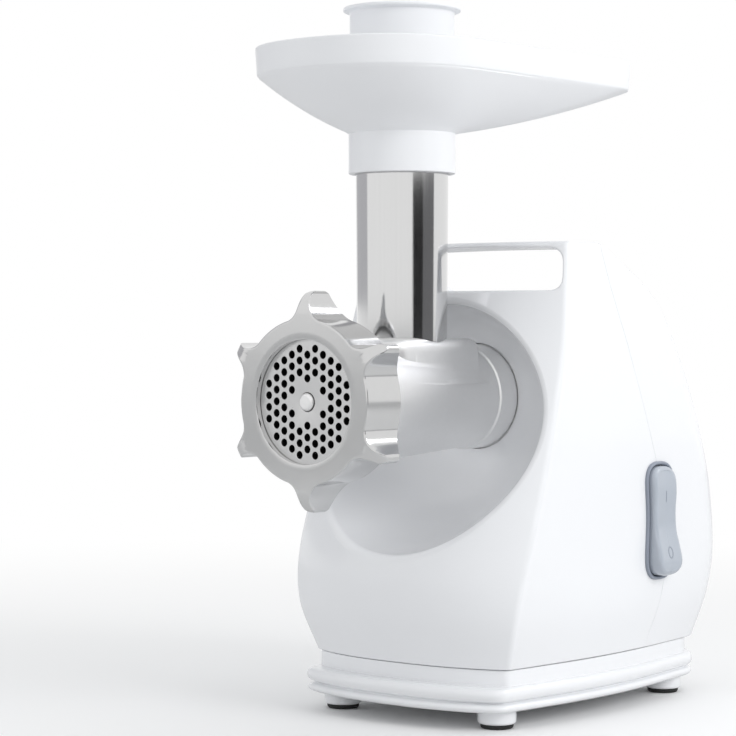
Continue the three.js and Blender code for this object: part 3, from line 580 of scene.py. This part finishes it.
def housing():
    shell = skin("front_shell", [plan_ring(body_plan(z), z, inset)
                                 for z, inset in rounded_levels(FOOT_Z, TOP_Z, 1.0, 2.4, 2.6)])
    coarse = (28, 2, 10, 5, 6)
    cavity = skin("cavity", [plan_ring(body_plan(z), z, WALL, 2.5, coarse)
                             for z in [CAVITY_Z + (SHELF_Z - WALL - CAVITY_Z) * i / 20
                                       for i in range(21)]])
    combine(cavity, bowl("bowl_back", WALL, 72, 10))
    combine(shell, cavity, bowl("bowl"), hand_opening())
    combine(shell, turned_y("socket_hole", bore(SOCKET_HOLE, 60, 75), soft=0),
            turned_y("button_hole", bore(BUTTON_HOLE, 20, 90), BUTTON, 40, 0),
            skin("switch_hole", [[(x, y, z) for y, z in inset_slot(SWITCH_RIM)] for x in (60, 90)]))
    rear = copy_of(shell, "rear_shell")
    combine(shell, seam_side(True), operation="INTERSECT")
    combine(rear, seam_side(False), operation="INTERSECT")
    for row in range(VENT_ROWS):
        z = VENT_Z + row * VENT_PITCH
        vent = slot_outline(*VENT_SIZE, 0, z, 40)
        normals = outward(vent)
        mouth = flare(vent, normals, back_face, 0.6, -1)
        combine(rear, skin("vent", mouth + [[(x, 150, zz) for x, zz in vent]]))
    combine(rear, turned_y("gland_hole", bore(GLAND_HOLE, 150, 220), GLAND, 48, 0))
    fit(shell, "housing", "white_shell", WHITE, "front_housing", "carry_handle")
    fit(rear, "housing", "white_shell", WHITE, "rear_housing")


# ---- base ----
# plans of the beaded rim, the band above it and the hollow inside, then heights and insets
PLINTH_RIM = (67, 0, 13, 200, 24, 7.5)
PLINTH_BAND = (65, 8.4, 13, 197, 23, 6.5)
PLINTH_INSIDE = (61, 11.5, 13, 192, 20, 6)
PLINTH_BEADS = [(10, 1.4), (10.4, 0.4), (11.2, -0.5), (12.4, -1), (13.6, -0.6), (14.3, 0.3), (14.7, 1.5),
                (15.1, 2.0), (15.5, 1.5), (15.9, 0.5), (17, -0.7), (19.3, -1.4), (21.4, -1), (22.7, 0),
                (23.25, 1.4), (23.3, 2.6)]
PLINTH_WALL = [(23.3, -0.7), (23.45, -0.2), (23.9, 0), (27, 0), (30.8, 0), (31.5, 0.3), (31.7, 1)]
FEET = {"front_left": (-53, 14), "front_right": (53, 14),
        "rear_left": (-53, 176), "rear_right": (53, 176)}
SCREWS = {"front_left": (-40, 34), "front_right": (40, 34),
          "rear_left": (-40, 140), "rear_right": (40, 140)}


def base():
    steps = (60, 10, 24, 12, 14)
    rings = [plan_ring(PLINTH_RIM, z, inset, 6, steps)
             for z, inset in curve_through(PLINTH_BEADS, 2)]
    rings += [plan_ring(PLINTH_BAND, z, inset, 3, steps) for z, inset in PLINTH_WALL]
    rings += [plan_ring(PLINTH_INSIDE, z, 0, 3, steps) for z in (31.7, 10)]
    band = skin("plinth_band", rings + [rings[0]], ends=False)
    fit(band, "housing", "white_shell", WHITE, "base_plinth")

    cover = skin("base_plate", [plan_ring(PLINTH_INSIDE, z, 0.3, 3, (30, 5, 12, 6, 8))
                                for z in (10, 12.6)])
    for x, y in FEET.values():
        boss = [(0, 2.5), (9.4, 2.5), (10.2, 3.4), (10.4, 9.7), (4.8, 9.7), (4.8, 11), (0, 11)]
        combine(cover, turned("boss", boss, centre=(x, y), segments=48, soft=0.6),
                operation="UNION")
    for x, y in SCREWS.values():
        post = turned("post", [(0, 11), (5, 11), (5, 30), (0, 30)], centre=(x, y), segments=24,
                      soft=0)
        combine(cover, post, operation="UNION")
        well = [(0, 5), (3.6, 5), (3.6, 14), (2, 14), (2, 26), (0, 26)]
        combine(cover, turned("well", well, centre=(x, y), segments=24, soft=0))
    for i in range(4):
        slot = slot_outline(48, 3, 1.5, 0, 67.5 + i * 10, 40)
        combine(cover, skin("slot", [[(x, y, z) for x, y in slot] for z in (5, 20)]))
    fit(cover, "housing", "white_shell", WHITE_SATIN, "base_cover")

    pad = [(0, 0), (7.9, 0), (8.7, 0.7), (8.9, 2.2), (0, 2.2)]
    first = turned("foot_pad", pad, segments=48, soft=0.3)
    for place, (x, y) in FEET.items():
        foot = moved(copy_of(first, "pad_" + place), x, y)
        fit(foot, "housing", "rubber", RUBBER, "foot_" + place)
    bpy.data.objects.remove(first)


# ---- socket, button, switch and cord inlet ----
# the paddle's height above the side, from its lower end at -1 to its upper end at 1
PADDLE_RISE = [(-1, 7.4), (-0.92, 8.8), (-0.75, 9.4), (-0.5, 8), (-0.2, 5.8), (0.15, 5.2), (0.5, 5.6),
               (0.85, 4.8), (1, 3.2)]


def fittings():
    sleeve = [(26.3, 66.3), (29.2, 66.3), (29.2, 70), (36, 70), (36, 73), (30.7, 73), (30.7, 83.7),
              (26.3, 83.7)]
    socket = turned_y("socket_sleeve", sleeve, soft=0.5)
    hole = (-27.8 * math.cos(0.6), BARREL_Z + 27.8 * math.sin(0.6))
    combine(socket, turned_y("latch_hole", [(0, 40), (2.3, 40), (2.3, 90), (0, 90)], hole, 20, 0))
    fit(socket, "housing", "inner_casting", CAST, "head_socket")

    cap = [(0, 55.2), (3.6, 55.3), (5.4, 55.6), (6.5, 56.8), (6.5, 68), (2.2, 68), (2.2, 80), (0, 80)]
    fit(turned_y("button_cap", cap, BUTTON, 48, 0.5), "release_button", "switch_grey", GREY,
        "release_button")

    gland = [(0, 195.5), (10, 195.5), (10, 198.5), (7, 198.5), (7, 205.9), (6.4, 206.3), (6.4, 207),
             (7, 207.4), (7, 208), (6, 208.8), (3.4, 208.8), (3.4, 201), (0, 201)]
    fit(turned_y("cord_gland", gland, GLAND, 48, 0.3), "housing", "switch_grey", GREY_DARK,
        "cord_inlet")

    def ring(inset, height):
        """The switch's outline at a height above the housing's side."""
        return [(side_face(y, z) + height, y, z) for y, z in inset_slot(inset)]

    face_x = side_face(SWITCH_Y, SWITCH_Z)
    section = [(0, 0.12), (0.0, 0.9), (0.15, 1.35), (0.5, 1.7), (1, 1.8), (1.5, 1.6), (1.85, 1.1),
               (SWITCH_RIM, 0.12)]
    rings = [ring(inset, height) for inset, height in section]
    bezel = skin("switch_frame", rings + [rings[0]], ends=False)
    fit(bezel, "housing", "switch_grey", GREY_DARK, "rocker_bezel")

    edge = SWITCH_RIM + 0.5
    half = SWITCH_SIZE[1] / 2 - edge
    line = curve_through(PADDLE_RISE, 8)

    def rocker_face(z):
        """The paddle's face: pressed at its upper end and raised at its lower end."""
        t = min(max((z - SWITCH_Z) / half, -1), 1)
        for (a, low), (b, high) in zip(line, line[1:]):
            if a <= t <= b:
                return face_x + low + (high - low) * (t - a) / (b - a)
        return face_x + line[-1][1]

    rings = [[(face_x - 2, SWITCH_Y, z) for y, z in inset_slot(edge)]]
    rings.append([(face_x - 2, y, z) for y, z in inset_slot(edge)])
    for inset, drop in [(0, 3.4), (0, 2.2), (0.12, 1.5), (0.4, 0.9), (0.9, 0.4), (1.6, 0.1), (2.4, 0)]:
        rings.append([(rocker_face(z) - drop, y, z) for y, z in inset_slot(edge + inset)])
    inner = inset_slot(edge + 2.4)
    for share in (0.85, 0.68, 0.5, 0.32, 0.15, 0):
        rings.append([(rocker_face(z) - 0.5 * (1 - share ** 2), SWITCH_Y + (y - SWITCH_Y) * share, z)
                      for y, z in inner])
    paddle = skin("switch_paddle", rings, ends=False)
    fit(paddle, "switch_rocker", "switch_grey", GREY, "switch_rocker")

    def mark(outline, lift):
        """A mark's outline at a height above the paddle."""
        return [(rocker_face(z) - 0.5 + lift, SWITCH_Y + y, z) for y, z in outline]

    turns = [2 * math.pi * i / 40 for i in range(40)]
    wide = [(2.3 * math.cos(a), 86 + 3.3 * math.sin(a)) for a in turns]
    narrow = [(1.75 * math.cos(a), 86 + 2.75 * math.sin(a)) for a in turns]
    rings = [mark(wide, -0.3), mark(wide, 0.12), mark(narrow, 0.12), mark(narrow, -0.3)]
    circle = skin("off_mark", rings + [rings[0]], ends=False)
    fit(circle, "switch_rocker", "switch_grey", GREY_DARK)
    bar = slot_outline(0.6, 6.4, 0.28, 0, 117, 24)
    fit(skin("on_mark", [mark(bar, -0.3), mark(bar, 0.12)]), "switch_rocker", "switch_grey",
        GREY_DARK)


# ---- head ----
def barrel_outside(grow=0.0):
    return [(38.2 + grow, -77.2), (38.2 + grow, -56), (36.4 + grow, -53), (34.6 + grow, -45),
            (31 + grow, 0), (28.2 + grow, 44), (27.7 + grow, 50.4), (29 + grow, 51.2),
            (29 + grow, 65.7), (26 + grow, 65.7), (26 + grow, 80)]


# heights and insets of the shoulder under the feed tube
SHOULDER_LEVELS = [(181, -4.5), (184, -2.2), (188, -0.8), (193, -0.1), (198, 0), (200.6, 0.3), (202.4, 0.9),
                   (203.8, 1.9), (204.8, 3.2), (205.3, 4.6), (205.5, 6.4)]


def shoulder_ring(z, inset):
    across, front, back = 25.6 - inset, -40 + inset, 42 - inset
    outline = slot_outline(2 * across, back - front, 14 - inset * 0.6, 0, (front + back) / 2, 120)
    return [(x, y, z) for x, y in outline]


def head():
    inside = [(22.5, 80), (22.5, 66.5), (8.3, 66.5), (8.3, 61), (24.3, 61), (27, -50), (27, -58),
              (32.5, -60), (32.5, -69.2), (35.3, -69.2), (35.3, -77.2)]
    barrel = turned_y("barrel_casting", barrel_outside() + inside, segments=128, soft=0.6)
    shoulder = skin("shoulder", [shoulder_ring(z, inset) for z, inset in SHOULDER_LEVELS])
    combine(shoulder, turned_y("bore", bore(27.3, -70, 70), segments=128, soft=0))
    combine(barrel, shoulder, operation="UNION")
    combine(barrel, turned("throat", bore(21, BARREL_Z, 233), segments=64, soft=0))
    fit(barrel, "head", "cast_aluminium", CAST, "head_barrel", "tube_seat")

    tube = turned("tube_sleeve", [(22.5, 185), (24, 185), (25, 316), (23.5, 316)], segments=128,
                  soft=0.4)
    saddle = turned_y("saddle", [(0, -77.2)] + barrel_outside(0.1) + [(0, 80)], segments=128,
                      soft=0)
    sides = skin("shoulder_space", [shoulder_ring(z, inset - 0.1) for z, inset in SHOULDER_LEVELS])
    combine(tube, saddle, moved(sides, z=0.1))
    fit(tube, "head", "tube_steel", DRAWN, "feed_tube")

    stem = [(0, -59.5), (10, -59.5), (9, 57), (8, 58), (8, 67), (0, 67)]
    core = turned_y("screw_auger", stem, segments=40)
    rings = []
    for i in range(121):
        t = i / 120
        angle = 2 * math.pi * 116 / 31 * t
        taper = min(1, 0.45 + 6 * t, 0.45 + 6 * (1 - t))
        outer = (26.2 - 2.6 * t) * taper
        section = [(8, -2.6), (outer - 1, -1.6), (outer, -1), (outer, 1), (outer - 1, 1.6), (8, 2.6)]
        rings.append([(r * math.cos(angle), -55 + 110 * t + dy, BARREL_Z + r * math.sin(angle))
                      for r, dy in section])
    combine(core, skin("flight", rings), operation="UNION")
    pin = [(0, -79.4), (3.6, -79.4), (4.65, -78.3), (4.65, -59), (0, -59)]
    combine(core, turned_y("pin", pin, segments=48, soft=0.5), operation="UNION")
    square = [(-5.6, -5.6), (5.6, -5.6), (5.6, 5.6), (-5.6, 5.6)]
    tang = skin("tang", [[(x, y, BARREL_Z + z) for x, z in square] for y in (-68.8, -59)])
    combine(core, tang, operation="UNION")
    fit(core, "auger", "inner_casting", CAST, "auger", degrees=40)


def plate():
    profile = [(4.95, -77.5), (35, -77.5), (35, -69.5), (4.95, -69.5)]
    disc = turned_y("hole_plate", profile, segments=128, soft=0.4)
    pitch = 6.05
    hole = turned_y("hole", [(0, -79), (2.2, -79), (2.2, -77.5), (2.05, -77.35), (2.05, -67), (0, -67)],
                    (0, BARREL_Z), 16, 0)
    holes = []
    for column in range(-5, 6):
        for row in range(-6, 7):
            x, z = column * pitch * math.sqrt(0.75), (row + (abs(column) % 2) / 2) * pitch
            if 1.9 * pitch < math.hypot(x, z) < 4.6 * pitch:
                holes.append(moved(copy_of(hole, f"hole_{len(holes)}"), x, 0, z))
    bpy.data.objects.remove(hole)
    rest()
    for one in holes:
        one.select_set(True)
    bpy.context.view_layer.objects.active = holes[0]
    bpy.ops.object.join()
    combine(disc, holes[0])
    fit(disc, "head", "plate_steel", GROUND, "perforated_plate", degrees=30)
    # The hole walls take the near-black steel as painted shade, so the holes look dark inside.
    disc.data.materials.append(SHADED)
    centre = at(0, 0, BARREL_Z)
    for face in disc.data.polygons:
        across = math.hypot(face.center.x - centre.x, face.center.z - centre.z)
        if abs(face.normal.y) < 0.3 and across < 31 * MM:
            face.material_index = 1


NUT_RADIUS, NUT_TIP, NUT_LOBES = 42.85, 57, 6


def nut_outline(inset=0.0):
    """Six lobes with hollow flanks and narrow round tips."""
    radius, tip, lobes = NUT_RADIUS, NUT_TIP, NUT_LOBES
    foot = math.asin(10 / radius)

    def curve(a, b, c, steps):
        a, b, c = Vector(a), Vector(b), Vector(c)
        return [a * (1 - i / steps) ** 2 + b * 2 * (i / steps) * (1 - i / steps) + c * (i / steps) ** 2
                for i in range(steps)]

    half = (curve((radius * math.cos(foot), -10), (radius + 1.5, -3.4), (tip - 1.6, -2.7), 12)
            + curve((tip - 1.6, -2.7), (tip + 1.6, 0), (tip - 1.6, 2.7), 8)
            + curve((tip - 1.6, 2.7), (radius + 1.5, 3.4), (radius * math.cos(foot), 10), 12))
    points = []
    for i in range(lobes):
        turn = math.pi / 2 + i * 2 * math.pi / lobes
        c, s = math.cos(turn), math.sin(turn)
        points += [(p.x * c - p.y * s, p.x * s + p.y * c) for p in half]
        for k in range(8):
            a = turn + foot + (2 * math.pi / lobes - 2 * foot) * k / 8
            points.append((radius * math.cos(a), radius * math.sin(a)))
    if inset:
        normals = outward(points)
        points = [(x - nx * inset, z - nz * inset) for (x, z), (nx, nz) in zip(points, normals)]
    return points


def nut():
    outline = nut_outline()

    def lean(radius):
        """How far the front goes back towards a lobe's rounded tip."""
        return 10.2 - math.sqrt(10.2 ** 2 - min(max(radius - 47, 0), 10) ** 2)

    def lobe_back(radius):
        """Where a lobe ends: at the nut's rear edge by its root and further forward at its tip."""
        share = min(max((radius - NUT_RADIUS) / (NUT_TIP - NUT_RADIUS), 0), 1)
        return -54.4 - 10.2 * share

    def level(share, inset=0.0, forward=0.0):
        """A line on the flanks, from the front edge at 0 to the rear edge at 1."""
        made = []
        for x, z in nut_outline(inset):
            radius = math.hypot(x, z)
            front, back = -80.2 + lean(radius), lobe_back(radius)
            made.append((x, front + (back - front) * share - forward, BARREL_Z + z))
        return made

    def circle(radius, y):
        return [(x / math.hypot(x, z) * radius, y, BARREL_Z + z / math.hypot(x, z) * radius)
                for x, z in outline]

    def face(share):
        """A line on the front, from a circle at 0 to the outline at 1."""
        made = []
        for x, z in nut_outline(0.8):
            radius = math.hypot(x, z)
            scale = (40 + (radius - 40) * share) / radius
            made.append((x * scale, -81 + lean(radius * scale), BARREL_Z + z * scale))
        return made

    rings = [circle(32, -80.4), circle(32.1, -80.8), circle(32.5, -81), circle(36, -81)]
    rings += [face(share) for share in (0, 0.15, 0.3, 0.45, 0.6, 0.75, 0.9, 1)]
    rings += [level(0, 0.45, 0.72), level(0, 0.15, 0.5), level(0)]
    rings += [level(share) for share in (0.15, 0.35, 0.55, 0.75, 0.9, 1)]
    rings += [circle(42.6, -54.25), circle(42, -54.03), circle(41.2, -54), circle(39.4, -54),
              circle(38.8, -54.6), circle(38.8, -77.8), circle(32, -77.8)]
    fit(skin("locking_nut", rings + [rings[0]], ends=False), "ring_nut", "polished_nut", POLISHED,
        "ring_nut", degrees=32)


# ---- tray and pusher ----
TRAY = {"half": 65.5, "front": -79, "back": 147, "front_corner": 58, "back_corner": 38, "neck": 28.5,
        "neck_top": 315, "neck_foot": 293, "rim": 358.8, "wall": 2.5}


def tray_outline(count=168):
    """The tray's plan: round back corners, straight sides and a bowed front."""
    half, front, back = TRAY["half"], TRAY["front"], TRAY["back"]
    corner, round_back = TRAY["front_corner"], TRAY["back_corner"]

    def bezier(points, steps=30):
        p = [Vector(q) for q in points]
        return [p[0] * (1 - t) ** 3 + p[1] * 3 * t * (1 - t) ** 2
                + p[2] * 3 * t * t * (1 - t) + p[3] * t ** 3
                for t in [i / steps for i in range(steps)]]

    def arc(x, y, start):
        return [Vector((x + round_back * math.cos(start + a), y + round_back * math.sin(start + a)))
                for a in [math.pi / 2 * i / 20 for i in range(21)]]

    points = [Vector((half, front + corner + 6))]
    points += arc(half - round_back, back - round_back, 0)
    points += arc(-half + round_back, back - round_back, math.pi / 2)
    points += bezier([(-half, front + corner + 6), (-half, front + 18),
                      (-corner * 0.62, front), (0, front)])
    points += bezier([(0, front), (corner * 0.62, front),
                      (half, front + 18), (half, front + corner + 6)])
    return spaced([tuple(p) for p in points], count)


def tray():
    outline = [Vector(p) for p in tray_outline()]
    neck, wall, rim = TRAY["neck"], TRAY["wall"], TRAY["rim"]

    def ring(share, z, inset=0.0, radius=neck):
        made = []
        for p in outline:
            unit = p.normalized()
            point = (unit * radius).lerp(p - unit * inset, share)
            made.append((point.x, point.y, z))
        return made

    def under(s):
        return TRAY["neck_top"] + 18 * s + 10.8 * s * s

    shares = [i / 20 for i in range(20)] + [0.975]
    rings = [ring(0, 293.5, 0, 25.3), ring(0, 293, 0, 25.8),
             ring(0, 293, 0, 28.1), ring(0, 293.4, 0, 28.6)]
    rings += [ring(0, z, 0, 28.6) for z in (297, 302, 308, 312)]
    rings += [ring(s, under(s) - (0.5 if s == 0 else 0)) for s in shares]
    rings += [ring(1, under(1) - 0.3, 1.0), ring(1, under(1) + 0.1, 0.4),
              ring(1, under(1) + 0.8, 0.08)]
    rings += [ring(1, 348, -0.1), ring(1, 353, -0.4),
              ring(1, rim - 1.4, -0.75), ring(1, rim - 0.5, -0.65)]
    rings += [ring(1, rim - 0.05, -0.1), ring(1, rim, 0.7),
              ring(1, rim - 0.4, 1.6), ring(1, rim - 1.4, 1.9)]
    rings += [ring(1, 350, 2.3), ring(1, under(1) + 4.4, wall + 0.1),
              ring(1, under(1) + 3.2, wall + 1.4)]
    rings += [ring(s, under(s) + wall + 0.6, wall, neck - 2) for s in reversed(shares)]
    rings += [ring(0, 317.6, 0, 24.3), ring(0, 317, 0, 23.4)]
    rings += [ring(0, 316.3, 0, 23.3), ring(0, 316.3, 0, 25.3)]
    dish = skin("food_tray", rings + [rings[0]], ends=False)
    fit(dish, "hopper_tray", "white_shell", WHITE_SATIN, "hopper_tray", degrees=40)

    profile = [(0, 226), (20.4, 226), (21.8, 227.6), (21.8, 320.9), (28, 320.9), (28, 378.9),
               (31.5, 379.7), (31.5, 381.5), (27, 381.5), (26, 380.1), (26, 323), (19.8, 320),
               (19.8, 228.2), (0, 228.2)]
    cup = turned("food_pusher", profile, segments=112, soft=0.7)
    fit(cup, "pusher", "white_shell", WHITE_SATIN, "pusher")


# ---- inner parts keep their CAD shapes ----
INNER = {
    "release_spring": STEEL, "release_guide": NYLON, "switch_module": BLACK, "control_board": BOARD,
    "suppressor_capacitor": NYLON, "compound_gear_1": NYLON, "gear_pin_1": STEEL, "compound_gear_2": NYLON,
    "gear_pin_2": STEEL, "output_gear": NYLON, "motor_pinion": STEEL, "drive_socket": STEEL,
    "output_bushing": COPPER, "gearbox_case": CAST_INNER, "gearbox_cover": CAST_INNER,
    "motor_stator": STACK, "field_coil_top": COPPER, "field_coil_bottom": COPPER, "rotor_core": STACK,
    "rotor_shaft": STEEL, "commutator": COPPER, "motor_bearing_front": STEEL,
    "motor_bearing_rear": STEEL, "cooling_fan": BLACK, "brush_left": CARBON, "brush_right": CARBON,
    "brush_holder_left": BLACK, "brush_holder_right": BLACK, "motor_bracket_front": STACK,
    "motor_bracket_rear": STACK, "auger_washer": NYLON, "auger_drive_end": STEEL, "cross_blade": GROUND,
    "base_screw_front_left": STEEL, "base_screw_front_right": STEEL, "base_screw_rear_left": STEEL,
    "base_screw_rear_right": STEEL,
}


def inner_parts():
    for name, material in INNER.items():
        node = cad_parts[name]
        node.data.materials.clear()
        node.data.materials.append(material)


housing()
base()
fittings()
head()
plate()
nut()
tray()
inner_parts()


# ---- floor and light ----
def glow(name, colour):
    material = bpy.data.materials.new(name)
    material.use_nodes = True
    tree = material.node_tree
    tree.nodes.clear()
    out = tree.nodes.new("ShaderNodeOutputMaterial")
    light = tree.nodes.new("ShaderNodeEmission")
    light.inputs["Color"].default_value = (*colour, 1)
    tree.links.new(light.outputs[0], out.inputs["Surface"])
    return material


def floor():
    """The floor that shows, fading into the backdrop, and a duller one that lights the object."""
    shown = Finish("pale_floor", Base_Color=tone(0.93), Roughness=0.8)
    shown.set("Roughness", shown.noise(40) * 0.05 + 0.75)
    white = shown.node("Emission", Color=(1, 1, 1, 1))
    where = shown.node("VectorMath", {"operation": "LENGTH"}, output=1, i0=shown.place())
    fade = shown.node("MapRange", {"interpolation_type": "SMOOTHSTEP"}, Value=where, i1=0.1, i2=1.1)
    body = Value(shown.tree, shown.shader.outputs[0])
    mixed = shown.node("MixShader", i0=fade, i1=body, i2=white)
    shown.tree.links.new(mixed.socket, shown.tree.nodes["Material Output"].inputs["Surface"])
    duller = Finish("bounce_floor", Base_Color=tone(0.75), Roughness=0.9)
    for name, material, z, seen in [("floor", shown.material, 0, True),
                                    ("bounce_floor", duller.material, -0.001, False)]:
        rest()
        bpy.ops.mesh.primitive_plane_add(size=24, location=(0, 0, z))
        ground = named(name)
        ground.data.materials.append(material)
        ground.visible_camera = seen
        ground.visible_diffuse = ground.visible_glossy = ground.visible_shadow = not seen


def backdrop():
    """A white dome behind everything, which metal reflects too."""
    rest()
    bpy.ops.mesh.primitive_ico_sphere_add(subdivisions=3, radius=16)
    dome = named("backdrop")
    dome.data.materials.append(glow("backdrop_white", (1, 1, 1)))
    dome.visible_diffuse = dome.visible_shadow = False


def card(name, turn, width, height, distance, level, z):
    """A studio card that only shows in reflections, at a turn to the right of the camera."""
    angle = math.radians(CAMERA_TURN - 90 + turn)
    rest()
    bpy.ops.mesh.primitive_plane_add(size=1)
    panel = named(name)
    panel.scale = (width, height, 1)
    panel.location = (math.cos(angle) * distance, math.sin(angle) * distance, z)
    panel.rotation_euler = (math.pi / 2, 0, angle - math.pi / 2)
    panel.data.materials.append(glow(name, (level, level, level * 1.04)))
    panel.visible_camera = panel.visible_diffuse = panel.visible_shadow = False


def soft_light(name, location, target, size, energy):
    """A round lamp that lights matt surfaces and leaves reflections to the cards."""
    rest()
    bpy.ops.object.light_add(type="AREA", location=location)
    lamp = named(name)
    lamp.data.shape, lamp.data.size, lamp.data.energy = "DISK", size, energy
    lamp.visible_glossy = False
    lamp.rotation_euler = (Vector(target) - Vector(location)).to_track_quat("-Z", "Y").to_euler()


floor()
backdrop()
world = bpy.data.worlds.new("studio")
bpy.context.scene.world = world
world.use_nodes = True
world.node_tree.nodes["Background"].inputs["Color"].default_value = (0.97, 0.985, 1, 1)
world.node_tree.nodes["Background"].inputs["Strength"].default_value = 0.66
soft_light("key", (1.45, 0, 0.8), (0, 0, 0.15), 0.9, 10)
soft_light("top", (0.2, 0.3, 1.9), (0, 0, 0.1), 1.6, 5)
soft_light("front_fill", (-1.3, -1.3, 0.3), (0, 0, 0.15), 1.2, 4.5)
card("dark_card", 37, 0.72, 0.42, 1.5, 0.02, 0.32)
card("dim_card", 67, 0.9, 0.42, 1.5, 0.16, 0.32)
card("left_card", -124, 1.6, 1.0, 1.5, 0.55, 0.74)
card("high_card", 98, 0.9, 0.5, 1.4, 5, 1.25)
bpy.context.scene.view_settings.view_transform = "Standard"
